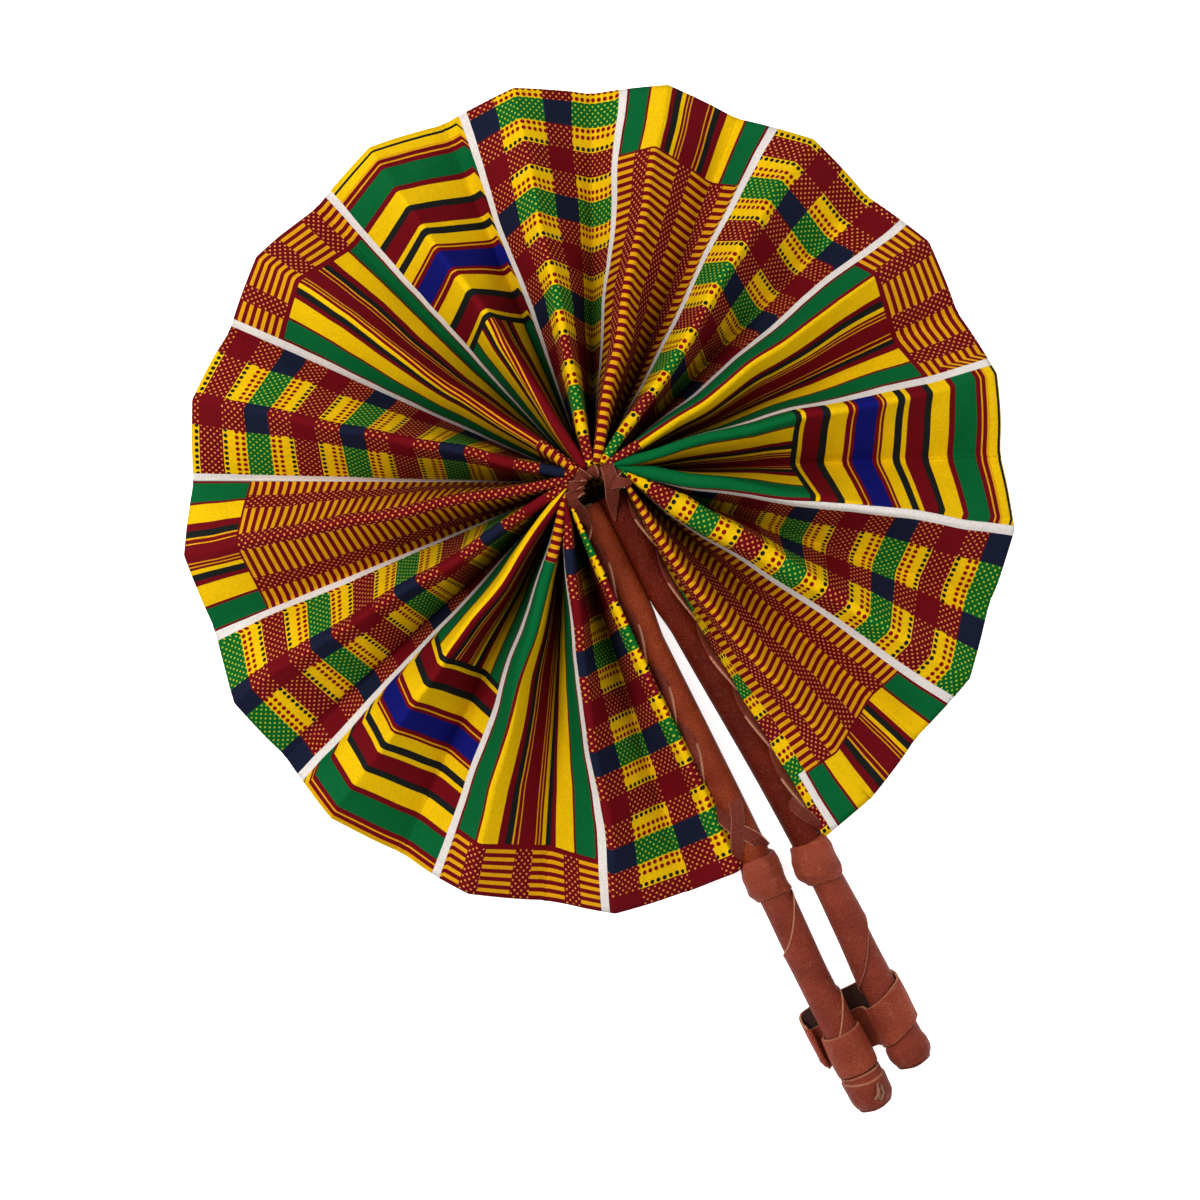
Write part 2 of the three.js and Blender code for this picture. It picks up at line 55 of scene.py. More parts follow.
# Leaf
PLEATS = 17
VALLEY_DEGREES = [14, 34.5, 56, 77.5, 98.5, 119.5, 141.5, 163, 184.5, 206, 227, 248.5, 269.5, 291, 312, 334]
RIM_RADIUS = 147.5
RIM_CENTRE_Y = -3.2
RIM_RIDGE_HEIGHT = 12.6
RIDGE_SETBACK = 0.7
RIDGE_OVERHANG = 4.2
CLOTH = 0.42
LEAF_LENGTH_ON_STICK = RIM_RADIUS - 5.5
HUB_HALF_WIDTH = 11.3
HUB_DEPTH = 8.5
HUB_CENTRE_Y = -1.5

# Print: strips side by side, each bordered in white, and the rim angles where they start, in degrees
STRIP = 65.4
STRIP_EDGES = [
    0, 25, 49.4, 73.3, 96.7, 119.5, 142.3, 164.9, 186.9,
    209.9, 231.5, 254.1, 277.6, 301, 326.2, 350.7, 374,
]

# Sticks
HUB_AXIS_HEIGHT = 15.5
TIP_AXIS_HEIGHT = 10.6
STICK_TOP_Y = -4
TIP_Y = {"a": -244.6, "b": -237.1}
ROUTES = {
    "a": [(-5.6, -4), (-6.5, -50), (-7.6, -125), (-9.4, -200), (-10.1, -244.6)],
    "b": [(5.6, -4), (5.9, -50), (9.9, -125), (10.9, -165), (10.4, -200), (9.4, -237.1)],
}
CORE_RADIUS_TOP = 3.3
CORE_RADIUS_TIP = 4.8
LAYER_FIT = 0.3
SLEEVE_WALL = 0.9
GRIP_WALL = 1.3
COLLAR_START = {"a": 141.2, "b": 144.2}
COLLAR_LENGTH = {"a": 15, "b": 15.6}
COLLAR_RADIUS = 8.4
CAP_LENGTH = {"a": 15, "b": 14}
ATTACH_RISE = {"a": 2, "b": 1.5}


def place(x, y, z):
    return Vector((x + HUB[0], y + HUB[1], z)) * MM


def mix(a, b, share):
    return a + (b - a) * share


def clamp(x, low=0.0, high=1.0):
    return min(high, max(low, x))


def ease(x):
    x = clamp(x)
    return x * x * (3 - 2 * x)


# Camera: straight above, turned so that the sticks point to the lower right


SENSOR_WIDTH = 36
NEAREST_SEEN = 0.01  # metres
CAMERA_HEIGHT = 700
FRAME_WIDTH = 435.5  # what the picture spans at the leaf's mean height
LEAF_MEAN_HEIGHT = 10
STICKS_IN_PICTURE = 153  # degrees clockwise from the top of the picture
HUB_IN_PICTURE = (-2.2, 40.1)  # of the hub from the picture's middle, to the right and up

# Studio: watts, place and size in metres of two large lamps that face the middle of the fan
LAMPS = {
    "key": (8, (-330, 330, 760), 0.55),
    "fill": (2.4, (420, -260, 620), 0.7),
}
LIT_MIDDLE = (0, -40, 0)
ROOM_GLOW = 0.3
FLOOR_REACH = 3.0  # metres
PAPER = (0.93, 0.93, 0.93, 1)
PAPER_ROUGHNESS = 0.9
PAPER_GLOW = 0.8


def add_camera():
    roll = math.radians(STICKS_IN_PICTURE - 180)
    right = Vector((math.cos(roll), math.sin(roll)))
    up = Vector((-math.sin(roll), math.cos(roll)))
    middle = -right * HUB_IN_PICTURE[0] - up * HUB_IN_PICTURE[1]
    data = bpy.data.cameras.new("camera")
    data.sensor_width = SENSOR_WIDTH
    data.lens = SENSOR_WIDTH * (CAMERA_HEIGHT - LEAF_MEAN_HEIGHT) / FRAME_WIDTH
    data.clip_start = NEAREST_SEEN
    camera = bpy.data.objects.new("camera", data)
    camera.location = place(middle.x, middle.y, CAMERA_HEIGHT)
    camera.rotation_euler = (0, 0, roll)
    bpy.context.scene.collection.objects.link(camera)
    bpy.context.scene.camera = camera


def add_lamp(name, power, at, size):
    data = bpy.data.lights.new(name, "AREA")
    data.energy = power
    data.size = size
    lamp = bpy.data.objects.new(name, data)
    lamp.location = place(*at)
    direction = place(*LIT_MIDDLE) - lamp.location
    lamp.rotation_euler = direction.to_track_quat("-Z", "Y").to_euler()
    bpy.context.scene.collection.objects.link(lamp)


def add_studio():
    scene = bpy.context.scene
    scene.view_settings.view_transform = "Standard"
    world = bpy.data.worlds.new("room")
    world.use_nodes = True
    background = world.node_tree.nodes["Background"]
    background.inputs["Color"].default_value = (1, 1, 1, 1)
    background.inputs["Strength"].default_value = ROOM_GLOW
    scene.world = world
    for name, (power, at, size) in LAMPS.items():
        add_lamp(name, power, at, size)
    mesh = bpy.data.meshes.new("floor")
    corners = [(x * FLOOR_REACH, y * FLOOR_REACH, 0) for x, y in ((-1, -1), (1, -1), (1, 1), (-1, 1))]
    mesh.from_pydata(corners, [], [(0, 1, 2, 3)])
    floor = bpy.data.objects.new("floor", mesh)
    scene.collection.objects.link(floor)
    paper = bpy.data.materials.new("white paper")
    paper.use_nodes = True
    shader = paper.node_tree.nodes["Principled BSDF"]
    shader.inputs["Base Color"].default_value = PAPER
    shader.inputs["Roughness"].default_value = PAPER_ROUGHNESS
    shader.inputs["Emission Color"].default_value = (1, 1, 1, 1)
    shader.inputs["Emission Strength"].default_value = PAPER_GLOW
    mesh.materials.append(paper)


# Node arithmetic


class Reading:
    """A number inside a material, which can be added, multiplied and compared."""

    def __init__(self, nodes, socket):
        self.nodes = nodes
        self.socket = socket

    def feed(self, operation, *others):
        node = self.nodes.tree.nodes.new("ShaderNodeMath")
        node.operation = operation
        for slot, value in zip(node.inputs, (self, *others)):
            if isinstance(value, Reading):
                self.nodes.tree.links.new(value.socket, slot)
            else:
                slot.default_value = value
        return Reading(self.nodes, node.outputs[0])

    def __add__(self, other):
        return self.feed("ADD", other)

    def __sub__(self, other):
        return self.feed("SUBTRACT", other)

    def __mul__(self, other):
        return self.feed("MULTIPLY", other)

    def __truediv__(self, other):
        return self.feed("DIVIDE", other)

    def __lt__(self, other):
        return self.feed("LESS_THAN", other)

    def __gt__(self, other):
        return self.feed("GREATER_THAN", other)

    def fract(self):
        return self.feed("FRACT")

    def floor(self):
        return self.feed("FLOOR")

    def within(self, low, high):
        """One between two values, and zero outside them."""
        return (self > low) * (self < high)

    def near(self, value, half):
        return self.feed("COMPARE", value, half)


class Finish:
    """A material under construction: its nodes, and short ways to add the usual ones."""

    def __init__(self, name):
        self.material = bpy.data.materials.new(name)
        self.material.use_nodes = True
        self.tree = self.material.node_tree
        self.shader = self.tree.nodes["Principled BSDF"]

    def add(self, kind, **settings):
        node = self.tree.nodes.new(kind)
        for name, value in settings.items():
            setattr(node, name, value)
        return node

    def link(self, source, target):
        self.tree.links.new(source.socket if isinstance(source, Reading) else source, target)

    def cloth_place(self):
        """Across and along the flat cloth, in millimetres, from the piece's own map."""
        chart = self.add("ShaderNodeUVMap", uv_map="cloth")
        split = self.add("ShaderNodeSeparateXYZ")
        self.link(chart.outputs[0], split.inputs[0])
        return Reading(self, split.outputs[0]), Reading(self, split.outputs[1])

    def attribute(self, name):
        node = self.add("ShaderNodeAttribute", attribute_name=name)
        return Reading(self, node.outputs["Fac"])

    def grain(self, size, detail=2.0, stretch=(1, 1, 1), rough=0.5):
        """Noise on the piece's own coordinates, from about 0 to 1; size is in millimetres."""
        chart = self.add("ShaderNodeTexCoord")
        mapping = self.add("ShaderNodeMapping")
        mapping.inputs["Scale"].default_value = [s / (size * MM) for s in stretch]
        self.link(chart.outputs["Object"], mapping.inputs[0])
        node = self.add("ShaderNodeTexNoise")
        node.inputs["Scale"].default_value = 1
        node.inputs["Detail"].default_value = detail
        node.inputs["Roughness"].default_value = rough
        self.link(mapping.outputs[0], node.inputs["Vector"])
        return Reading(self, node.outputs["Fac"])

    def pebble(self, size):
        """Cells of leather grain, from 0 in a cell's middle up to its edge."""
        chart = self.add("ShaderNodeTexCoord")
        node = self.add("ShaderNodeTexVoronoi", feature="F1")
        node.inputs["Scale"].default_value = 1 / (size * MM)
        self.link(chart.outputs["Object"], node.inputs["Vector"])
        return Reading(self, node.outputs["Distance"])

    def blend(self, share, first, second, how="MIX"):
        node = self.add("ShaderNodeMix", data_type="RGBA", blend_type=how)
        for value, slot in ((share, node.inputs[0]), (first, node.inputs[6]), (second, node.inputs[7])):
            if isinstance(value, (Reading, bpy.types.NodeSocket)):
                self.link(value, slot)
            else:
                slot.default_value = value
        return node.outputs[2]

    def bands(self, position, stops):
        """A constant colour from each stop to the next, over a position from 0 to 1."""
        node = self.add("ShaderNodeValToRGB")
        ramp = node.color_ramp
        ramp.interpolation = "CONSTANT"
        while len(ramp.elements) < len(stops):
            ramp.elements.new(1.0)
        for element, (at, colour) in zip(ramp.elements, stops):
            element.position = at
            element.color = colour
        self.link(position, node.inputs[0])
        return node.outputs["Color"]

    def bump(self, height, depth):
        """Relief from a height of about 0 to 1, this many millimetres deep."""
        node = self.add("ShaderNodeBump")
        node.inputs["Distance"].default_value = depth * MM
        node.inputs["Strength"].default_value = 1
        self.link(height, node.inputs["Height"])
        self.link(node.outputs[0], self.shader.inputs["Normal"])


def ink(red, green, blue):
    """A screen colour, 0 to 255, as the linear colour that a shader takes."""
    def linear(c):
        c /= 255
        return c / 12.92 if c <= 0.04045 else ((c + 0.055) / 1.055) ** 2.4
    return (linear(red), linear(green), linear(blue), 1)


YELLOW = ink(228, 182, 8)
GOLD = ink(214, 150, 16)
MAROON = ink(104, 12, 20)
RED = ink(130, 14, 16)
GREEN = ink(8, 92, 46)
LEAF_GREEN = ink(12, 92, 34)
LIME = ink(166, 178, 46)
NAVY = ink(24, 28, 48)
BLUE = ink(18, 22, 104)
BLACK = ink(27, 29, 27)
WHITE = ink(220, 212, 206)
PEACH = ink(212, 138, 62)

WHITE_BORDER = 3.3
# Stripes along the cloth, as (end of the stripe in millimetres from the strip's edge, colour)
LONG_STRIPES = [
    (3.3, WHITE), (4.3, MAROON), (12.3, GREEN), (13.4, MAROON), (21.8, YELLOW), (24.0, MAROON),
    (26.8, BLACK), (28.6, YELLOW), (29.4, MAROON), (30.1, GOLD), (31.0, MAROON), (31.5, GOLD),
    (38.6, MAROON), (39.3, GOLD), (40.7, MAROON), (41.4, GOLD), (44.2, BLACK), (47.4, MAROON),
    (55.2, YELLOW), (56.4, MAROON), (64.2, GREEN), (STRIP, MAROON),
]
# Comb columns: bars or dots, from the strip's edge
COMB_DOTS = [(11.6, 18.4), (32.2, 39.4), (51.4, 58.2)]
# Stripes across the strip, by distance from the rim
CROSS_STRIPES = [
    (1.6, YELLOW), (2.7, BLACK), (5.8, YELLOW), (6.8, GOLD), (8.2, MAROON), (8.8, GOLD), (10.6, MAROON),
    (19.0, GREEN), (21.4, MAROON), (28.2, YELLOW), (30.5, BLACK), (36.8, MAROON), (38.6, YELLOW),
    (41.3, BLACK), (45.6, YELLOW), (46.6, MAROON), (47.2, GOLD), (48.8, MAROON), (56.4, BLUE),
    (57.6, MAROON), (58.2, GOLD), (60.1, MAROON), (66.4, YELLOW), (69.2, BLACK), (75.6, MAROON),
    (77.2, YELLOW), (79.4, BLACK),
]
CROSS_REACH = 79.4
# How far in from the rim each strip's print is cut off, since neighbouring strips don't run level
PRINT_SHIFT = [5.5, 3, 5.2, 0, 1.5, 0, 3, 0, -3.8, -3, 0, -2.7, 1.6, 0, 0, 0]
CHECK_PERIOD = 36.4
THREADS = 12.5  # radians of weave in a millimetre
FADING_SIZE = 16
YARN_SIZE = 0.8
CLOTH_CREASE_SIZE = 9
CLOTH_BUMP = 0.16
LEATHER_BUMP = 0.4
SHADOW = ink(9, 7, 7)  # painted shadow: the colour of cloth deep in a fold
LAST_STRIP = 15
LAST_BORDER_LENGTH = 24  # the last white border shows only this far in from the rim
SECOND_COMB = 128  # where the comb starts again, near the hub
BAR_PITCH = 3.05
BAR_GAP = 0.52  # of a pitch
DOT_PITCH = 2.5
DOT_SIZE = 0.045  # squared radius, in pitches
KINDS = 5
INNER_COMB = (22.4, 23.2)  # from the rim: where its dark edge starts, and where the comb itself does
OUTER_COMB = (21.6, 23.4)  # where the comb ends, and where its dark edge does
# Columns of the checks, from the strip's edge, that hold navy and maroon instead of yellow and green
NARROW_FIRST = [(22.5, 34.5), (53.0, STRIP)]
NARROW_SECOND = [(WHITE_BORDER, 14.5), (34.5, 46)]
FIRST_CHECKS_SHIFT = 1.67  # rows that the first kind of checks is moved along
BEAD_PITCH = 2.35
# Rows of beads on the yellow checks, in quarters of the check period, and the beads' radius
RED_BEADS = ([1.13, 1.4, 3.6, 3.87], 0.82)
BLACK_BEADS = ([1.88, 3.12], 0.8)


def stripes_in(stripes, length):
    """Turns stripe ends in millimetres into ramp stops."""
    starts = [0, *(end for end, _ in stripes[:-1])]
    return [(start / length, colour) for start, (_, colour) in zip(starts, stripes)]


def cloth_print():
    """Five kinds of strip in turn: checks, comb over stripes, cross stripes, checks, stripes over comb."""
    f = Finish("printed cotton")
    across, from_rim = f.cloth_place()
    strip = (across / STRIP).floor()
    x = (across / STRIP).fract() * STRIP
    kind = (strip / KINDS).fract() * KINDS
    first_checks = kind < 0.5
    comb_outside = kind.near(1, 0.5)
    crossed = kind.near(2, 0.5)
    second_checks = kind.near(3, 0.5)
    comb_inside = kind > 3.5

    stripes = f.bands(x / STRIP, stripes_in(LONG_STRIPES, STRIP))
    cross = f.bands(from_rim / CROSS_REACH, stripes_in(CROSS_STRIPES, CROSS_REACH))

    lean = ((x + from_rim) / DOT_PITCH).fract() - 0.5
    other_lean = ((x - from_rim) / DOT_PITCH).fract() - 0.5
    dots = (lean.feed("POWER", 2) + other_lean.feed("POWER", 2)) < DOT_SIZE
    bars = (from_rim / BAR_PITCH).fract() > BAR_GAP
    dotted = x.within(*COMB_DOTS[0]) + x.within(*COMB_DOTS[1]) + x.within(*COMB_DOTS[2])
    comb = f.blend(dotted.near(0, 0.5) * bars, MAROON, GOLD)
    comb = f.blend(dotted * dots, comb, PEACH)
    in_comb = comb_inside * (from_rim > INNER_COMB[1]) + comb_outside * (from_rim < OUTER_COMB[0])
    in_comb = in_comb + comb_outside * (from_rim > SECOND_COMB)
    edge = comb_inside * from_rim.within(*INNER_COMB) + comb_outside * from_rim.within(*OUTER_COMB)

    plain = f.blend(crossed * (from_rim < CROSS_REACH), stripes, cross)
    plain = f.blend(in_comb, plain, comb)
    plain = f.blend(edge, plain, MAROON)

    quarter = CHECK_PERIOD / 4
    row = ((from_rim + first_checks * (FIRST_CHECKS_SHIFT * quarter)) / CHECK_PERIOD).fract() * CHECK_PERIOD
    narrow_first = x.within(*NARROW_FIRST[0]) + x.within(*NARROW_FIRST[1])
    narrow_second = x.within(*NARROW_SECOND[0]) + x.within(*NARROW_SECOND[1])
    narrow = narrow_first * first_checks + narrow_second * second_checks
    wide_fill = f.bands(row / CHECK_PERIOD, [(0, LEAF_GREEN), (0.25, YELLOW), (0.5, MAROON), (0.75, YELLOW)])
    narrow_fill = f.bands(row / CHECK_PERIOD, [(0, NAVY), (0.25, MAROON)])
    checks = f.blend(narrow, wide_fill, narrow_fill)
    yellow_row = (row / (2 * quarter)).fract() > 0.5
    fine = narrow.near(yellow_row, 0.5) * dots
    checks = f.blend(fine, checks, f.blend(row < quarter, PEACH, LIME))
    beads_x = ((x / BEAD_PITCH).fract() - 0.5) * BEAD_PITCH
    beads_square = beads_x.feed("POWER", 2)
    on_yellow = yellow_row * narrow.near(0, 0.5)
    for (places, radius), colour in ((RED_BEADS, RED), (BLACK_BEADS, BLACK)):
        for centre in places:
            bead = (beads_square + (row - quarter * centre).feed("POWER", 2)) < radius ** 2
            checks = f.blend(bead * on_yellow, checks, colour)

    colour = f.blend(first_checks + second_checks, plain, checks)
    hidden = (strip > LAST_STRIP - 0.5) * (from_rim > LAST_BORDER_LENGTH)
    colour = f.blend((x < WHITE_BORDER) * (hidden < 0.5), colour, WHITE)

    wear = f.grain(FADING_SIZE, 4) * 0.26 + f.grain(YARN_SIZE, 2) * 0.5 + 0.61
    grey = f.add("ShaderNodeCombineColor")
    for socket in grey.inputs:
        f.link(wear, socket)
    colour = f.blend(1.0, colour, grey.outputs[0], "MULTIPLY")
    # Painted shade: the cloth is mixed towards SHADOW where the inside attribute says it lies in the hub or
    # far down between ridges
    colour = f.blend(f.attribute("inside"), colour, SHADOW)
    f.link(colour, f.shader.inputs["Base Color"])
    f.shader.inputs["Roughness"].default_value = 0.78
    f.shader.inputs["Specular IOR Level"].default_value = 0.02
    threads = (across * THREADS).feed("SINE") * (from_rim * THREADS).feed("SINE")
    creases = f.grain(CLOTH_CREASE_SIZE, 3, rough=0.6) * 4.0
    f.bump(threads * 0.35 + creases, CLOTH_BUMP)
    return f.material


MOTTLE_SIZE = 14
SPECK_SIZE = 1.6
PEBBLE_SIZE = 0.75
CREASE_SIZE = 2.6


def leather(name, base, deep, edge, gloss=0.52, scuffs=0.16):
    """Dyed leather: mottled colour, fine grain, and paler where the piece's cut attribute says so."""
    f = Finish(name)
    mottle = (f.grain(MOTTLE_SIZE, 4) - 0.5) * 1.7 + 0.5
    colour = f.blend(mottle.feed("MAXIMUM", 0), base, deep)
    speck = f.grain(SPECK_SIZE, 3)
    colour = f.blend((speck > 0.66) * 0.05, colour, edge)
    pits = (f.pebble(PEBBLE_SIZE) - 0.35) * 0.9
    colour = f.blend(pits.feed("MAXIMUM", 0), colour, deep)
    creases = f.grain(CREASE_SIZE, 5, rough=0.7)
    colour = f.blend((creases > 0.6) * scuffs, colour, edge)
    colour = f.blend(f.attribute("flesh"), colour, FLESH)
    colour = f.blend(f.attribute("cut"), colour, edge)
    f.link(colour, f.shader.inputs["Base Color"])
    rough = f.grain(5, 3) * 0.3 + (gloss - 0.15)
    f.link(rough, f.shader.inputs["Roughness"])
    f.shader.inputs["Specular IOR Level"].default_value = 0.07
    f.bump(creases * 1.5 + f.grain(0.6, 2) * 0.6 - pits * 0.9, LEATHER_BUMP)
    return f.material


EDGE_TAN = ink(176, 120, 90)
FLESH = ink(62, 40, 34)
HANDLE_LEATHER = leather("handle leather", ink(140, 60, 42), ink(104, 40, 29), EDGE_TAN, scuffs=0.1)
STRAP_LEATHER = leather("strap leather", ink(154, 70, 46), ink(118, 48, 34), EDGE_TAN)
SLEEVE_LEATHER = {
    "a": leather("sleeve leather", ink(144, 60, 28), ink(96, 30, 14), EDGE_TAN, 0.45, 0.05),
    "b": leather("darker sleeve leather", ink(106, 30, 10), ink(64, 11, 4), EDGE_TAN, 0.45, 0.05),
}
THONG_LEATHER = leather("thong leather", ink(118, 50, 37), ink(86, 34, 25), ink(186, 132, 104), scuffs=0.06)
PALE_THONG = leather("pale thong", ink(158, 112, 88), ink(122, 80, 62), ink(190, 150, 124), 0.75)
COTTON = cloth_print()


# Curves and frames


class Path:
    """A smooth curve through points, measured by distance along it."""

    def __init__(self, points, closed=False, pieces=24):
        points = [Vector(p) for p in points]
        count = len(points)
        if closed:
            chain = [points[-1], *points, points[0], points[1]]
        else:
            chain = [2 * points[0] - points[1], *points, 2 * points[-1] - points[-2]]
        self.samples = []
        for i in range(count if closed else count - 1):
            corners = chain[i:i + 4]
            steps = [max((b - a).length ** 0.5, 1e-4) for a, b in zip(corners, corners[1:])]
            for k in range(pieces):
                self.samples.append(self.between(corners, steps, k / pieces))
        self.samples.append(points[0] if closed else points[-1])
        self.marks = [0.0]
        for a, b in zip(self.samples, self.samples[1:]):
            self.marks.append(self.marks[-1] + (b - a).length)
        self.length = self.marks[-1]

    @staticmethod
    def between(corners, steps, share):
        a, b, c, d = corners
        before, here, after = steps
        leave = ((b - a) / before - (c - a) / (before + here) + (c - b) / here) * here
        reach = ((c - b) / here - (d - b) / (here + after) + (d - c) / after) * here
        s = share
        return (b * (2 * s ** 3 - 3 * s ** 2 + 1) + leave * (s ** 3 - 2 * s ** 2 + s)
                + c * (3 * s ** 2 - 2 * s ** 3) + reach * (s ** 3 - s ** 2))

    def at(self, distance):
        distance = clamp(distance, 0, self.length)
        low, high = 0, len(self.marks) - 1
        while high - low > 1:
            middle = (low + high) // 2
            if self.marks[middle] <= distance:
                low = middle
            else:
                high = middle
        span = self.marks[high] - self.marks[low]
        share = (distance - self.marks[low]) / span if span else 0
        return self.samples[low].lerp(self.samples[high], share)

    def along(self, distance):
        reach = 0.4
        ahead = self.at(min(distance + reach, self.length))
        return (ahead - self.at(max(distance - reach, 0))).normalized()


class Stick:
    def __init__(self, letter):
        slope = (TIP_AXIS_HEIGHT - HUB_AXIS_HEIGHT) / (STICK_TOP_Y - TIP_Y["a"])
        route = [(x, y, HUB_AXIS_HEIGHT + slope * (STICK_TOP_Y - y)) for x, y in ROUTES[letter]]
        self.path = Path(route)
        self.length = self.path.length
        self.letter = letter

    def frame(self, distance):
        inside = clamp(distance, 0, self.length)
        along = self.path.along(inside)
        at = self.path.at(inside) + along * (distance - inside)
        side = along.cross(Vector((0, 0, 1))).normalized()
        return at, along, side, side.cross(along)

    def point(self, distance, sideways, rise):
        at, _, side, up = self.frame(distance)
        return at + side * sideways + up * rise

    def around(self, distance, turn, radius):
        """A point at an angle round the stick, from its top towards the left."""
        return self.point(distance, radius * math.sin(turn), radius * math.cos(turn))

    def core(self, distance):
        return mix(CORE_RADIUS_TOP, CORE_RADIUS_TIP, distance / self.length)

    def sleeve(self, distance):
        return self.core(distance) + LAYER_FIT + SLEEVE_WALL

    def grip(self, distance):
        return self.core(distance) + LAYER_FIT + GRIP_WALL

    def cover(self, distance, turn):
        """The sleeve's outside, which reaches to the other stick along the first part of the leaf."""
        base = self.sleeve(distance)
        inwards = -math.sin(turn) if self.letter == "a" else math.sin(turn)
        together = 1 - ease((distance - TOGETHER) / PARTING)
        other = STICKS["b" if self.letter == "a" else "a"]
        half_gap = abs(self.frame(distance)[0].x - other.frame(distance)[0].x) / 2 + 0.01
        return base + max(0, half_gap - base) * together * max(0, inwards) ** 1.5


TOGETHER = 40  # how far from the hub the two sleeves touch
PARTING = 16  # and over what length they part
STICKS = {letter: Stick(letter) for letter in "ab"}


# Meshes


def skin(name, rings, material, around=True, ends=True, chart=None, marks=None, wrap=False):
    """A mesh through rings of points in the fan's frame. around closes each ring, wrap joins the last
    ring to the first, ends closes both ends. chart gives (u, v) for ring i, point k; marks gives the
    value of a point attribute in the same way."""
    width = len(rings[0])
    points = [place(*p) for ring in rings for p in ring]
    faces = []
    spans = len(rings) if wrap else len(rings) - 1
    for i in range(spans):
        here, there = i * width, ((i + 1) % len(rings)) * width
        for k in range(width if around else width - 1):
            n = (k + 1) % width
            faces.append((here + k, here + n, there + n, there + k))
    if ends and around and not wrap:
        for ring, first in ((rings[0], 0), (rings[-1], (len(rings) - 1) * width)):
            middle = sum((Vector(p) for p in ring), Vector()) / width
            points.append(place(*middle))
            pole = len(points) - 1
            for k in range(width):
                n = (k + 1) % width
                faces.append((first + n, first + k, pole) if first == 0 else (first + k, first + n, pole))
    mesh = bpy.data.meshes.new(name)
    mesh.from_pydata(points, [], faces)
    if chart:
        layer = mesh.uv_layers.new(name="cloth")
        for loop in mesh.loops:
            layer.data[loop.index].uv = chart(*divmod(loop.vertex_index, width))
    for label, value in (marks or {}).items():
        layer = mesh.attributes.new(label, "FLOAT", "POINT")
        for index in range(len(rings) * width):
            layer.data[index].value = value(*divmod(index, width))
    mesh.polygons.foreach_set("use_smooth", [True] * len(mesh.polygons))
    mesh.materials.append(material)
    piece = bpy.data.objects.new(name, mesh)
    bpy.context.scene.collection.objects.link(piece)
    return piece


def outward(piece):
    """Turns a closed mesh so that its faces point out."""
    mesh = piece.data
    volume = 0.0
    for face in mesh.polygons:
        corners = [mesh.vertices[v].co for v in face.vertices]
        for b, c in zip(corners[1:], corners[2:]):
            volume += corners[0].dot(b.cross(c))
    if volume < 0:
        mesh.flip_normals()
    return piece


def thicken(piece, thickness):
    """Gives an open mesh a wall, with the modifier applied."""
    wall = piece.modifiers.new("wall", "SOLIDIFY")
    wall.thickness = thickness * MM
    wall.offset = 0
    return settle(piece)


def settle(piece):
    """Applies a piece's modifiers."""
    bpy.context.view_layer.update()
    depsgraph = bpy.context.evaluated_depsgraph_get()
    mesh = bpy.data.meshes.new_from_object(piece.evaluated_get(depsgraph), depsgraph=depsgraph)
    piece.modifiers.clear()
    piece.data = mesh
    return piece


def fit(piece, body, slot, *nodes):
    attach(piece, body)
    if nodes:
        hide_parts(*nodes)
    return piece


def rough(x, y, z, size):
    """Smooth unevenness from -1 to 1; size is in millimetres."""
    return noise.noise(Vector((x / size, y / size, z / size)))


def uneven(turn, distance, round_count, length, seed=0):
    """Smooth unevenness round a stick, from -1 to 1; length is in millimetres along it."""
    x, y = math.sin(turn) * round_count, math.cos(turn) * round_count
    return noise.noise(Vector((x, y, distance / length + seed)))


# Leaf


RIM_FALL = {1: 1.0, 16: 2.6}
LEAF_STATIONS = 74
STATION_CROWDING = 1.15  # stations lie closer together near the hub
WALL_CROWDING = 1.5  # and closer together near a valley's crease
SETBACK_POWER = 0.8
CREST_RADIUS = (1.7, 1.5)  # of the ridge, at the hub and at the rim
STRAY = (0.16, 0.03)  # how unevenly the ridge runs, at the hub and at the rim
BOW = (2.2, 30)  # how far hand pleated panels bow, and over what length
WAVE = (0.3, 8)  # and the small waves of the cloth
BOW_ACROSS = 0.7
BOW_UP = 0.6
WALL_STEPS = 13
CREST_STEPS = 7
VALLEY_ROUNDING = 1.1
VALLEY_SOFTNESS = 0.16
HUB_PITCH = math.pi * (HUB_HALF_WIDTH + HUB_DEPTH) / 2 / PLEATS
MEAN_PITCH = math.radians((VALLEY_DEGREES[-1] - VALLEY_DEGREES[0]) / (PLEATS - 2))
RIM_PITCH = 2 * RIM_RADIUS * math.sin(MEAN_PITCH / 2)
PANEL_WIDTH = math.hypot(RIM_PITCH / 2, RIM_RIDGE_HEIGHT)
FIRST_RIDGE_SHARE = 0.16
LAST_RIDGE_SHARE = 0.56
# Where each ridge lies between its two valleys near the hub, as gathered by hand
RIDGE_AT_HUB = [
    0.16, 0.66, 0.46, 0.5, 0.44, 0.56, 0.5, 0.42, 0.55,
    0.5, 0.46, 0.54, 0.58, 0.36, 0.5, 0.44, 0.84,
]
CREST_AT_HUB = {15: 2.6, 16: 5}  # the radius of the rounder ridges on the slack side
RIDGE_SLIP = {3: 7, 8: 3, 9: 8, 14: 3, 15: -6}  # how far the print lies off its ridge near the hub
ATTACH_DEGREES = (5.7, 353.3)  # where the leaf's two laced edges meet the rim
RIM_SPREAD = 1.8  # the cloth's edge reaches this much past the valley creases' ends


def horseshoe(turn, grow=0.0):
    """A point on the hub's outline: turn runs from 0 at the left over the top to pi at the right."""
    across, up = HUB_HALF_WIDTH + grow, HUB_DEPTH + grow
    return Vector((-across * math.cos(turn), HUB_CENTRE_Y + up * math.sin(turn), 0))


def hub_point(seam):
    return horseshoe(math.pi * seam / PLEATS)


def seam_degrees(seam):
    if seam == 0:
        return ATTACH_DEGREES[0]
    return ATTACH_DEGREES[1] if seam == PLEATS else VALLEY_DEGREES[seam - 1]


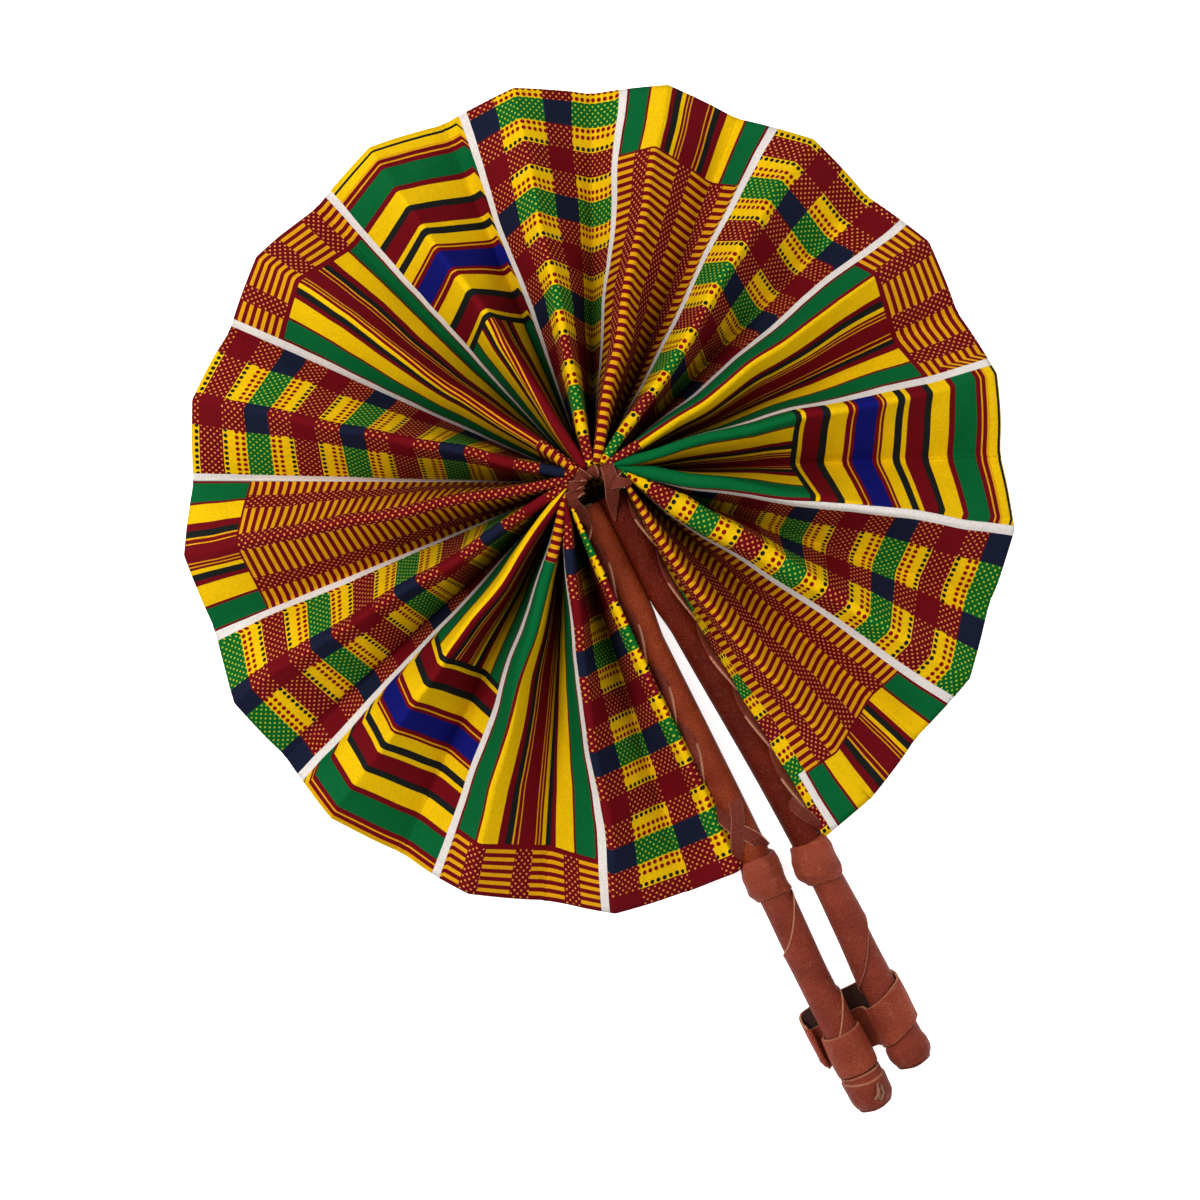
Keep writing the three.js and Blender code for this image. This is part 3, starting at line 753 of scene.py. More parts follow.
def seam_point(seam, share):
    if seam in (0, PLEATS):
        letter, side = ("a", 1) if seam == 0 else ("b", -1)
        stick = STICKS[letter]
        distance = share * LEAF_LENGTH_ON_STICK
        rise = ATTACH_RISE[letter]
        reach = math.sqrt(stick.sleeve(distance) ** 2 - rise ** 2) + CLOTH / 2
        return stick.point(distance, side * reach, rise)
    turn = math.radians(VALLEY_DEGREES[seam - 1])
    radius = RIM_RADIUS + RIM_SPREAD - RIM_FALL.get(seam, 0)
    rim = Vector((-math.sin(turn) * radius, RIM_CENTRE_Y - math.cos(turn) * radius, 0))
    return hub_point(seam).lerp(rim, share)


def strip_place(degrees):
    """How far along the row of strips the cloth at this rim angle lies."""
    for k, (low, high) in enumerate(zip(STRIP_EDGES, STRIP_EDGES[1:])):
        if degrees < high:
            return (k + (degrees - low) / (high - low)) * STRIP
    return len(STRIP_EDGES) * STRIP


def panel_section(run, rise, radius):
    """Half of a pleat's cross-section, from the valley crease up the wall and over the rounded ridge to
    its top: (along the ground, height, length of cloth so far)."""
    radius = max(0.05, min(radius, 0.92 * run, 0.6 * rise))
    reach = math.hypot(run, rise - radius)
    straight = math.sqrt(reach ** 2 - radius ** 2)
    lean = math.atan2(rise - radius, run) + math.asin(radius / reach)
    section = []
    for k in range(WALL_STEPS):
        length = straight * (k / WALL_STEPS) ** WALL_CROWDING
        gentle = 1 - math.exp(-length / VALLEY_ROUNDING)
        section.append((length * math.cos(lean), length * math.sin(lean) * gentle, length))
    for k in range(CREST_STEPS + 1):
        turn = lean * (1 - k / CREST_STEPS)
        across = run - radius * math.sin(turn)
        section.append((across, rise - radius + radius * math.cos(turn), straight + radius * (lean - turn)))
    return section


def pleat_rings(j):
    """Rings of points from the hub to the rim, and how far across the cloth each point lies, 0 to 2."""
    rings, shares = [], []
    ridge_at = {1: FIRST_RIDGE_SHARE, PLEATS: LAST_RIDGE_SHARE}.get(j, 0.5)
    outwards = seam_point(j, 1) + seam_point(j - 1, 1) - hub_point(j) - hub_point(j - 1)
    outwards.z = 0
    outwards.normalize()
    for i in range(LEAF_STATIONS + 1):
        t = (i / LEAF_STATIONS) ** STATION_CROWDING
        start, end = seam_point(j - 1, t), seam_point(j, t)
        level = Vector((end.x - start.x, end.y - start.y, 0))
        width = level.length
        across = level / width
        nominal = mix(HUB_PITCH, RIM_PITCH, t)
        height = math.sqrt(PANEL_WIDTH ** 2 - (nominal / 2) ** 2)
        if j == 1:
            height = mix(height, start.z + 3, t)
        stray = 0
        if 1 < j < PLEATS:
            stray = noise.noise(Vector((t * 5.5, j * 3.7, 1.0))) * mix(*STRAY, ease(t * 1.5))
        ridge = (mix(RIDGE_AT_HUB[j - 1], ridge_at, ease(t * 1.25)) + stray) * width
        setback = mix(RIDGE_SETBACK, RIDGE_OVERHANG if j > 1 else 0, t)
        radius = mix(CREST_AT_HUB.get(j, CREST_RADIUS[0]), CREST_RADIUS[1], t)
        left = panel_section(ridge, height - start.z, radius)
        right = panel_section(width - ridge, height - end.z, radius)
        section = [(a, start.z + z, length / left[-1][2]) for a, z, length in left]
        for a, z, length in reversed(right[:-1]):
            section.append((width - a, end.z + z, 2 - length / right[-1][2]))
        ring = []
        for along, z, share in section:
            climb = clamp((z - min(start.z, end.z)) / height)
            softened = 1 - math.exp(-climb / VALLEY_SOFTNESS)
            p = start + across * along + outwards * setback * climb ** SETBACK_POWER * softened
            p.z = z
            belly = math.sin(math.pi * (share % 1)) if share != 1 else 0.0
            bow = rough(p.x, p.y, j * 9.0, BOW[1]) * BOW[0] * belly
            bow += rough(p.x, p.y, 40 + j, WAVE[1]) * WAVE[0]
            bow *= ease(min(t, 0.5) * 2) * ease(min(share, 2 - share) * 5)
            p += across * bow * BOW_ACROSS
            p.z = max(p.z + bow * BOW_UP, CLOTH / 2)
            ring.append(p)
        rings.append(ring)
        shares.append([share for _, _, share in section])
    return rings, shares


INSIDE_REACH = 7  # stations of cloth drawn in under the hub lacing
GATHERED_HEIGHT = (0.7, 0.12)  # of a pleat's height that is left under the lacing, outside and inside
# Painted shade, carried by the inside attribute: near black on the cloth drawn into the hub, and darker far
# down between the ridges near the hub
HUB_PAINTED_SHADE = 0.97
VALLEY_PAINTED_SHADE = 0.72
VALLEY_SHADE_DEPTH = (1.5, 11)  # below the ridge, where the painted shade starts, and how much deeper it is full
HUB_MIDDLE = Vector((-0.4, -5.2, 0))


def gathered_end(ring):
    """The cloth drawn in and down to the middle of the hub, below the lacing."""
    drawn = []
    for i in range(INSIDE_REACH, 0, -1):
        share = i / INSIDE_REACH
        low = mix(*GATHERED_HEIGHT, share)
        drawn.append([Vector((*p.lerp(HUB_MIDDLE, share).xy, max(CLOTH / 2, p.z * low))) for p in ring])
    return drawn


def fold_line(j):
    """The way across pleat j, in which it flattens as the fan closes, and a point on its middle."""
    joints = {joint["name"]: Vector(joint["pos_m"]) for joint in frame["joints"] if "pos_m" in joint}
    line = (seam_point(j - 1, 1) + seam_point(j, 1) - seam_point(j - 1, 0) - seam_point(j, 0)).normalized()
    return (line.y, -line.x, 0), (joints[f"fold_hinge_{j:02d}"] + joints[f"fold_hinge_{j + 1:02d}"]) / 2


def add_leaf():
    for j in range(1, PLEATS + 1):
        main, shares = pleat_rings(j)
        rings = gathered_end(main[0]) + main
        from_rim = [[0.0] * len(rings[0]) for _ in rings]
        for i in range(len(rings) - 2, -1, -1):
            for k, (p, q) in enumerate(zip(rings[i], rings[i + 1])):
                from_rim[i][k] = from_rim[i + 1][k] + (p - q).length
        low, high = seam_degrees(j - 1), seam_degrees(j)
        ridge_share = {1: FIRST_RIDGE_SHARE, PLEATS: LAST_RIDGE_SHARE}.get(j, 0.5)

        def chart(i, k):
            share = shares[max(0, i - INSIDE_REACH)][k]
            level = share * ridge_share if share <= 1 else ridge_share + (share - 1) * (1 - ridge_share)
            across = strip_place(mix(low, high, level))
            out = max(0, i - INSIDE_REACH) / LEAF_STATIONS
            across += RIDGE_SLIP.get(j, 0) * (1 - ease(out * 1.2)) * math.sin(math.pi * level)
            return across, from_rim[i][k] + PRINT_SHIFT[int(across // STRIP)]

        def inside(i, k):
            """How much painted shade a point gets: in the hub, or far down between two ridges."""
            if i < INSIDE_REACH:
                return HUB_PAINTED_SHADE * ease(1 - i / INSIDE_REACH + 0.35)
            crest = max(p.z for p in rings[i])
            out = (i - INSIDE_REACH) / LEAF_STATIONS
            start, depth = VALLEY_SHADE_DEPTH
            below = ease((crest - rings[i][k].z - start) / depth)
            return VALLEY_PAINTED_SHADE * below * (1 - ease(out * 1.5)) ** 0.7

        number = f"{j:02d}"
        piece = skin(f"leaf_{number}", rings, COTTON, around=False, ends=False, chart=chart,
                     marks={"inside": inside})
        piece = thicken(piece, CLOTH)
        fit(piece, f"fold_{number}", "cloth", f"pleat_{number}")
        cut_width = sum((p - q).length for p, q in zip(rings[-1], rings[-1][1:]))
        axis, anchor = fold_line(j)
        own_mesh(piece)
        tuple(axis)
        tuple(anchor)


# Sticks


FULL = 2 * math.pi
AROUND = 56
# Each stitch shows as a petal of thong along the leaf's side of the stick: the places of its pale edge
STITCHES = {
    "a": {"ends": [12, 37, 61.5, 86.5, 109], "length": 27, "side": 1},
    "b": {"ends": [24, 55, 85, 110, 136], "length": 30, "side": -1},
}
# Thongs laid over a stick where its lacing ends: (distance, angle in degrees, rise) points, and width
CROSSINGS = {
    "a": [
        ([(114, 92, -0.6), (120, 62, 0.7), (127, 26, 0.9), (134, -22, 0.6), (139, -58, -0.6)], 5.2),
        ([(142, 88, -0.3), (137, 58, 1.2), (130, 24, 1.6), (123, -6, 0.8), (118, -22, -0.6)], 4.8),
    ],
    "b": [([(128, -14, -0.6), (133, -30, 0.7), (138, -56, 0.9), (143, -90, -0.2)], 4.0)],
}
WRAP_PITCH = {"a": 40, "b": 48}
WRAP_STEP = {"a": 0.75, "b": 1.0}
WRAP_EDGE = {"a": 159, "b": 178}  # where the grip's overlap crosses the right side of the stick
TRIM_SINK = {"a": 0.32, "b": 0.42}  # how deep the overlap's pale edge lies
TRIM_PALE = {"a": 0.8, "b": 0.25}
CAP_END = 1.4
CAP_NOSE = 6.5
CAP_BLUNTNESS = 0.12  # the radius left at the very end, as a share of the full one
SLEEVE_START = 0.8
SLEEVE_STEP = 2
GRIP_STEP = 0.45
KEEPER_STEP = 0.4
SLEEVE_UNEVEN = (0.34, 0.16)  # lengthways, and in dimples
STITCH_STEPS = (34, 12)  # along and across
STITCH_LIFT = (0.2, 1.0)
STITCH_DEPTH = 0.45  # of its underside in the sleeve
COLLAR_STEP = 0.5
COLLAR_BULGE_AT = {"a": 80, "b": 66}  # degrees from the top
COLLAR_BULGE = 1.0
COLLAR_SLIM = {"a": 0.9, "b": 0.4}


def stations(start, end, spacing):
    steps = max(2, round((end - start) / spacing))
    return [mix(start, end, i / steps) for i in range(steps + 1)]


def loop(stick, distance, radius, around=AROUND):
    """One ring of points round a stick; radius is a function of the angle, left being positive."""
    ring = []
    for k in range(around):
        turn = FULL * k / around
        ring.append(stick.around(distance, turn, radius(turn)))
    return ring


def tube(name, stick, material, distances, outer, inner, marks=None):
    """A closed sleeve between two radii, which are functions of distance and angle."""
    def ring(distance, radius):
        return loop(stick, distance, lambda turn: radius(distance, turn))
    rings = [ring(d, outer) for d in distances] + [ring(d, inner) for d in reversed(distances)]
    out = len(distances)
    values = {}
    for label, value in (marks or {}).items():
        values[label] = lambda i, k: value(distances[i], FULL * k / AROUND) if i < out else 0.0
    return outward(skin(name, rings, material, wrap=True, marks=values))


def add_sleeve(letter, stick):
    seed, side = (31, 1) if letter == "a" else (57, -1)

    def outer(distance, turn):
        lengthways = uneven(turn, distance, 2.2, 34, seed)
        dimple = uneven(turn, distance, 1.4, 7, seed)
        own_side = 0.5 * (1 + side * math.sin(turn))  # none on the side that faces the other stick
        swell = SLEEVE_UNEVEN[0] * lengthways + SLEEVE_UNEVEN[1] * dimple
        return stick.cover(distance, turn) + swell * own_side

    end = COLLAR_START[letter] + COLLAR_LENGTH[letter] / 2
    piece = tube(f"stick_{letter}_sleeve_cover", stick, SLEEVE_LEATHER[letter],
                 stations(SLEEVE_START, end, SLEEVE_STEP), outer,
                 lambda distance, turn: stick.core(distance) + LAYER_FIT)
    fit(piece, f"stick_{letter}", "sleeve_leather", f"stick_{letter}_sleeve")


def stitch(letter, stick, end, length, side, number):
    """One visible stretch of the whip lacing: it comes up beside the leaf, runs down the stick and tucks
    in again. Its edge towards the tip stands proud and shows the pale inside of the leather."""
    along_steps, across_steps = STITCH_STEPS
    start = max(3.0, end - length)
    rings = []
    for i in range(along_steps + 1):
        share = i / along_steps
        distance = mix(start, end + 1.5, share)
        reach = math.sin(math.pi * share ** 0.72) ** 0.8
        near_top = math.radians(84 - (72 if letter == "a" else 56) * reach)
        far = math.radians(mix(84, 128, math.sin(math.pi * share) ** 0.5))
        lift = mix(*STITCH_LIFT, ease(share * 1.3)) * math.sin(math.pi * clamp(share, 0.02, 0.98)) ** 0.4
        top, under = [], []
        for k in range(across_steps + 1):
            q = k / across_steps
            turn = side * mix(near_top, far, q)
            edge = clamp(q / 0.12) ** 0.5
            swell = 0.2 * noise.noise(Vector((share * 3, q * 2, number * 5.0)))
            r = stick.cover(distance, turn)
            high = r + 0.08 + lift * (0.45 + 0.55 * edge) + swell * lift
            top.append(stick.around(distance, turn, high))
            under.append(stick.around(distance, turn, r - STITCH_DEPTH))
        rings.append(top + list(reversed(under)))
    last = 2 * across_steps + 1

    def cut(i, k):
        share = i / along_steps
        shows = 0.42 < share < 0.97
        edges = (0, last) if letter == "a" else (0, last, across_steps, across_steps + 1)
        return 0.95 if shows and k in edges else 0.0

    return outward(skin("stitch", rings, THONG_LEATHER, marks={"cut": cut}))


def crossing(stick, points, width):
    """A thong laid over a stick through (distance, angle, rise) points, with pale edges."""
    route = []
    for distance, degrees, rise in points:
        turn = math.radians(degrees)
        route.append(stick.around(distance, turn, stick.cover(distance, turn) + rise))
    return thong("crossing", route, width, 1.0, THONG_LEATHER)


def add_lacing(letter, stick):
    plan = STITCHES[letter]
    pieces = []
    for number, end in enumerate(plan["ends"]):
        pieces.append(stitch(letter, stick, end, plan["length"], plan["side"], number))
    for points, width in CROSSINGS[letter]:
        pieces.append(crossing(stick, points, width))
    fit(join(pieces, f"stick_{letter}_whip_lacing"), f"stick_{letter}", "leather", f"stick_{letter}_lacing")


def add_grip(letter, stick):
    over_below = letter == "a"  # whether the layer nearer the tip lies on top of its neighbour

    def overlap(turn):
        """How far along the stick the overlap's edge crosses this angle."""
        round_stick = (turn - 1.5 * math.pi) / FULL
        return WRAP_EDGE[letter] + WRAP_PITCH[letter] * round_stick + 1.6 * math.sin(turn * 2 + 0.6)

    def depth(distance, turn):
        """How far past the overlap's edge a point lies, as a share of a turn."""
        share = (distance - overlap(turn)) / WRAP_PITCH[letter]
        return share - math.floor(share)

    def layer(distance, turn):
        past = depth(distance, turn)
        return 1 - past if over_below else past

    def outer(distance, turn):
        creased = uneven(turn, distance, 1.3, 16)
        return stick.grip(distance) - 0.2 + WRAP_STEP[letter] * layer(distance, turn) ** 2 + 0.2 * creased

    start = COLLAR_START[letter] + COLLAR_LENGTH[letter] / 2 + LAYER_FIT
    piece = tube("grip", stick, HANDLE_LEATHER, stations(start, stick.length - 0.5, GRIP_STEP),
                 outer, lambda distance, turn: stick.core(distance) + LAYER_FIT)
    edge = []
    turn = -2 * FULL
    while turn < 3 * FULL:
        at = overlap(turn)
        if start + 4 < at < stick.length - 3:
            edge.append(stick.around(at, turn, stick.grip(at) + WRAP_STEP[letter] - TRIM_SINK[letter]))
        turn += FULL / 30
    trim = thong("edge", edge, 0.6, 0.5, HANDLE_LEATHER, pale=TRIM_PALE[letter], pale_from=0)
    cover = join([piece, trim], f"stick_{letter}_grip_cover")
    fit(cover, f"stick_{letter}", "leather", f"stick_{letter}_grip")


def add_collar(letter, stick):
    length = COLLAR_LENGTH[letter]
    seed = 4 if letter == "a" else 9
    bulge_at = math.radians(COLLAR_BULGE_AT[letter])
    full = COLLAR_RADIUS - COLLAR_SLIM[letter]

    def outer(distance, turn):
        share = (distance - COLLAR_START[letter]) / length
        low = stick.grip(distance) + 0.5
        swell = ease(share * 2.6) * ease((1 - share) * 3.4)
        gather = uneven(turn, distance, 3.4, 8, seed)
        fold = uneven(turn, distance, 1.5, 3.4, seed)
        radius = mix(low + 0.5, full, swell)
        radius += COLLAR_BULGE * math.cos(turn - bulge_at) * swell * clamp(share * 1.6)
        lip = clamp(min(share, 1 - share) / 0.05)
        return max(low - 0.3, radius + 0.55 * gather + 0.35 * fold - 0.5 * (1 - lip) ** 2)

    def cut(distance, turn):
        share = (distance - COLLAR_START[letter]) / length
        return 0.35 * clamp((share - 0.975) / 0.02)

    def slanted(distance):
        """The band's rings lean a little, as it was wound on by hand."""
        ring = []
        for k in range(AROUND):
            turn = FULL * k / AROUND
            shift = 0.7 * math.sin(turn * 2 + seed)
            ring.append(stick.around(distance + shift, turn, outer(distance, turn)))
        return ring

    distances = stations(COLLAR_START[letter], COLLAR_START[letter] + length, COLLAR_STEP)
    inner = [loop(stick, d, lambda turn, d=d: stick.grip(d) - 0.1) for d in (distances[-1], distances[0])]
    rings = [slanted(d) for d in distances] + inner
    piece = skin(f"stick_{letter}_collar_band", rings, STRAP_LEATHER, wrap=True, marks={
        "cut": lambda i, k: cut(distances[i], 0) if i < len(distances) else 0.0,
    })
    fit(outward(piece), f"stick_{letter}", "leather", f"stick_{letter}_collar")


def add_cap(letter, stick):
    end = stick.length + LAYER_FIT + CAP_END
    mouth = end - CAP_LENGTH[letter]
    bore = stick.grip(stick.length) + LAYER_FIT
    layers = [0.0, 2.6] if letter == "a" else []  # edges of the gathered layers, from the mouth
    distances = sorted({*stations(mouth, end - 0.01, 0.35), *(end - step for step in (0.05, 0.1, 0.2, 0.3))})

    def slanted(distance, turn):
        return distance + 1.0 * math.sin(turn) - 0.5 * math.cos(turn * 2)

    def outer(distance, turn):
        from_mouth = distance - mouth
        slant = clamp(from_mouth / 2) * (slanted(distance, turn) - distance)
        level = 0.55 if layers else mix(-0.15, 0.9, ease((from_mouth - 2) / 4))
        for edge in layers[1:]:
            level += 0.5 * clamp((from_mouth + slant - edge) / 0.25)
        to_end = (end - distance) / CAP_NOSE
        nose = math.sqrt(clamp(1 - (1 - clamp(to_end)) ** 2))
        creased = uneven(turn, distance, 1.6, 6, 5)
        pucker = uneven(turn, distance, 4.5, 7, 21)
        full = bore + 0.15 + level + 0.4 * creased + 0.22 * pucker
        return full * mix(CAP_BLUNTNESS, 1.0, nose ** 0.8)

    def cut(distance, turn):
        from_mouth = distance - mouth
        slant = clamp(from_mouth / 2) * (slanted(distance, turn) - distance)
        return max([0.0, *(0.9 * clamp(1 - abs(from_mouth + slant - edge - 0.1) / 0.4) for edge in layers)])

    outer_rings = [loop(stick, d, lambda turn, d=d: outer(d, turn)) for d in distances]
    inner_rings = [loop(stick, d, lambda turn: bore - 0.35) for d in (end - 1.5, mouth)]
    rings = [*reversed(outer_rings), *reversed(inner_rings)]
    flipped = list(reversed(distances))
    piece = skin(f"stick_{letter}_cap_cup", rings, HANDLE_LEATHER, marks={
        "cut": lambda i, k: cut(flipped[i], FULL * k / AROUND) if i < len(flipped) else 0.0,
    })
    fit(outward(piece), f"stick_{letter}", "leather", f"stick_{letter}_cap")
    return bore


def thong_nodes():
    """Geometry nodes that sweep a flat thong with rounded, paler edges along a row of points."""
    tree = bpy.data.node_groups.new("flat thong", "GeometryNodeTree")
    wanted = {
        "Row": "Geometry", "Width": "Float", "Thickness": "Float",
        "Paleness": "Float", "Pale From": "Float", "Leather": "Material",
    }
    names = {}
    for label, kind in wanted.items():
        socket = tree.interface.new_socket(label, in_out="INPUT", socket_type="NodeSocket" + kind)
        names[label] = socket.identifier
    tree.interface.new_socket("Thong", in_out="OUTPUT", socket_type="NodeSocketGeometry")

    def add(kind, inputs, **settings):
        node = tree.nodes.new(kind)
        for name, value in settings.items():
            setattr(node, name, value)
        for slot, value in inputs.items():
            if isinstance(value, bpy.types.NodeSocket):
                tree.links.new(value, node.inputs[slot])
            else:
                node.inputs[slot].default_value = value
        return node.outputs[0] if node.outputs else None

    def sum_of(operation, *values):
        return add("ShaderNodeMath", dict(enumerate(values)), operation=operation)

    given = tree.nodes.new("NodeGroupInput").outputs
    outline = add("GeometryNodeCurvePrimitiveQuadrilateral",
                  {"Width": given["Width"], "Height": given["Thickness"]})
    corner = sum_of("MULTIPLY", given["Thickness"], 0.4)
    outline = add("GeometryNodeFilletCurve", {"Curve": outline, "Count": 3, "Radius": corner}, mode="POLY")
    across = add("ShaderNodeSeparateXYZ", {0: add("GeometryNodeInputPosition", {})})
    share = sum_of("DIVIDE", sum_of("ABSOLUTE", across), given["Width"])
    pale = sum_of("MULTIPLY", sum_of("GREATER_THAN", share, given["Pale From"]), given["Paleness"])
    outline = add("GeometryNodeStoreNamedAttribute", {"Geometry": outline, "Name": "cut", "Value": pale},
                  data_type="FLOAT", domain="POINT")
    route = add("GeometryNodeMeshToCurve", {"Mesh": given["Row"]})
    route = add("GeometryNodeSetCurveNormal", {"Curve": route}, mode="Z_UP")
    narrowing = add("GeometryNodeInputNamedAttribute", {"Name": "narrowing"}, data_type="FLOAT")
    thong = add("GeometryNodeCurveToMesh", {"Curve": route, "Profile Curve": outline, "Scale": narrowing,
                                            "Fill Caps": True})
    thong = add("GeometryNodeSetShadeSmooth", {"Geometry": thong})
    thong = add("GeometryNodeRealizeInstances", {"Geometry": thong})
    thong = add("GeometryNodeSetMaterial", {"Geometry": thong, "Material": given["Leather"]})
    add("NodeGroupOutput", {0: thong})
    return tree, names


THONG_NODES, THONG_INPUTS = thong_nodes()


def thong(name, points, width, thickness, material, pale=0.8, pale_from=0.46, narrow=lambda share: 1.0):
    """A flat thong along a few points. Its cut edges are pale from this share of its width outwards, and
    narrow gives how much of its width is left at a share of its length."""
    path = Path(points)
    steps = max(6, round(path.length / 0.5))
    row = [place(*path.at(path.length * i / steps)) for i in range(steps + 1)]
    mesh = bpy.data.meshes.new(name)
    mesh.from_pydata(row, [(i, i + 1) for i in range(steps)], [])
    layer = mesh.attributes.new("narrowing", "FLOAT", "POINT")
    for i in range(steps + 1):
        layer.data[i].value = narrow(i / steps)
    piece = bpy.data.objects.new(name, mesh)
    bpy.context.scene.collection.objects.link(piece)
    sweep = piece.modifiers.new("sweep", "NODES")
    sweep.node_group = THONG_NODES
    values = {"Width": width * MM, "Thickness": thickness * MM, "Paleness": pale, "Pale From": pale_from,
              "Leather": material}
    for label, value in values.items():
        sweep[THONG_INPUTS[label]] = value
    return outward(settle(piece))


# The cap's stitch: each strand's shift and the two ends' distances from the tip, and how it rises and dips
STRANDS = [(0.0, 8.2, 3.4), (1.1, 7.0, 2.6), (-0.9, 6.4, 3.8)]
STRAND_RISE = [(0, -1.3), (0.15, 0.0), (0.5, 0.35), (0.85, 0.0), (1, -1.4)]
STRAND_ACROSS = (-3.9, -1.5)
STITCH_OVER_BORE = 2.15


def add_cap_stitch(stick, bore):
    """A short stitch of pale thong, three strands drawn through a slit in the cap of stick A."""
    top = bore + STITCH_OVER_BORE
    strands = []
    for number, (shift, near, far) in enumerate(STRANDS):
        points = []
        for share, lift in STRAND_RISE:
            sideways = mix(*STRAND_ACROSS, share) - shift + 0.35 * math.sin(share * 7 + number)
            distance = stick.length - mix(near, far, share)
            points.append(stick.point(distance, sideways, math.sqrt(top ** 2 - sideways ** 2) + lift))
        strands.append(thong("strand", points, 1.0, 0.8, PALE_THONG))
    piece = join(strands, "stick_a_cap_stitch")
    fit(piece, "stick_a", "pale_leather", "stick_a_cap_tab")


def join(pieces, name):
    """One mesh of several pieces that share their attributes and material."""
    first = pieces[0]
    with bpy.context.temp_override(active_object=first, selected_editable_objects=pieces):
        bpy.ops.object.join()
    first.name = name
    first.data.name = name
    return first


# Closing strap


STRAP_WIDTH = 15.5
STRAP_THICKNESS = 1.1
STRAP_SLACK = 0.7
STRAP_Y = -216.5
STRAP_SKEW = 4
KEEPER_LENGTH = 15.5
KEEPER_WALL = 1.1
KEEPER_SETBACK = 6.5
STRAP_STATIONS = 190
STRAP_ACROSS = [-1, -0.99, -0.97, -0.8, -0.6, -0.4, -0.2, 0, 0.2, 0.4, 0.6, 0.8, 0.97, 0.99, 1]
STRAP_RIPPLE = 0.34
KEEPER_WAIST = 0.35
KEEPER_PUCKER = 0.32
KEEPER_SEAT = 0.12  # between the keeper and the grip that it is pulled tight on


def strap_route(a, b, grip_a, grip_b):
    """Places across the sticks, heights, and shares of the skew: under both sticks, over B, back under A
    and round the bight."""
    low = STRAP_THICKNESS / 2
    second = low + STRAP_THICKNESS + LAYER_FIT
    reach = grip_b + STRAP_SLACK + STRAP_THICKNESS / 2
    left = a.x - grip_a - KEEPER_WALL - LAYER_FIT
    return [
        (a.x, low, 1),
        (b.x - 2, low, 1),
        (b.x + reach * 0.72, low + 1.2, 0.9),
        (b.x + reach, b.z - 3.5, 0.8),
        (b.x + reach, b.z + 2, 0.5),
        (b.x + reach * 0.62, b.z + reach * 0.79, 0.2),
        (b.x, b.z + reach, -0.2),
        (b.x - reach * 0.66, b.z + reach * 0.76, -0.6),
        (b.x - reach, b.z + 1, -0.9),
        (b.x - reach - 0.3, b.z - 4.5, -1),
        (b.x - reach - 2.2, second + 0.8, -1),
        (a.x + 1, second, -1),
        (left + 1.5, second, -0.9),
        (left - 1.4, second + 1.6, -0.8),
        (left - 1.6, second + 5, -0.7),
        (left - 2.5, second + 6.6, -0.3),
        (left - 3.3, second + 4.2, 0.1),
        (left - 3.2, low + 1.5, 0.5),
        (left - 1.8, low, 0.8),
    ]


def add_strap():
    distance = STICK_TOP_Y - STRAP_Y
    a, b = (STICKS[letter].frame(distance)[0] for letter in "ab")
    grip_a, grip_b = (STICKS[letter].grip(distance) for letter in "ab")
    route = strap_route(a, b, grip_a, grip_b)
    path = Path([(x, STRAP_Y + skew * STRAP_SKEW, z) for x, z, skew in route], closed=True)
    half = STRAP_THICKNESS / 2
    across = STRAP_ACROSS
    rings = []
    for i in range(STRAP_STATIONS):
        at = path.at(path.length * i / STRAP_STATIONS)
        at.z = max(at.z, half)
        along = path.along(path.length * i / STRAP_STATIONS)
        if i == 0:
            along = Vector((1, 0, 0))
        along.y = 0
        if at.z <= half:
            along.z = 0
        along.normalize()
        out = Vector((along.z, 0, -along.x))
        free = clamp((at.z - 2.6) / 3)
        front, back = [], []
        for k, w in enumerate(across):
            y = w * STRAP_WIDTH / 2 * (1 + 0.03 * noise.noise(Vector((i / 9, w, 2))))
            ripple = STRAP_RIPPLE * free * noise.noise(Vector((i / 3.6, w * 0.9, 7)))
            thin = 0.55 if abs(w) == 1 else 0.85
            base = at + Vector((0, y, 0)) + out * ripple
            front.append(base + out * half * thin)
            back.append(base - out * half * thin)
        rings.append(front + list(reversed(back)))
    count = len(across)

    def cut(i, k):
        w = abs(across[k] if k < count else across[2 * count - 1 - k])
        return 0.75 if w > 0.98 else 0.0

    piece = skin("closing_strap_band", rings, STRAP_LEATHER, wrap=True, marks={
        "cut": cut,
        "flesh": lambda i, k: 0.0 if k < count else 1.0,
    })
    fit(outward(piece), "strap", "leather", "closing_strap")
    keeper = STICKS["a"]
    middle = distance + KEEPER_SETBACK
    start, end = middle - KEEPER_LENGTH / 2, middle + KEEPER_LENGTH / 2

    def outer(d, turn):
        share = (d - start) / (end - start)
        waist = KEEPER_WAIST * math.sin(math.pi * share) ** 0.7
        pucker = uneven(turn, d, 5.5, 11, 40)
        lip = clamp(min(share, 1 - share) / 0.05)
        full = keeper.grip(d) + LAYER_FIT + KEEPER_WALL + waist + KEEPER_PUCKER * pucker
        return full - 0.45 * (1 - lip) ** 2

    def edge(d, turn):
        share = (d - start) / (end - start)
        return 0.7 * clamp(1 - share / 0.02)

    band = tube("strap_keeper_band", keeper, STRAP_LEATHER, stations(start, end, KEEPER_STEP), outer,
                lambda d, turn: keeper.grip(d) + KEEPER_SEAT, {"cut": edge})
    fit(band, "strap", "leather", "strap_keeper")


# Hub lacing


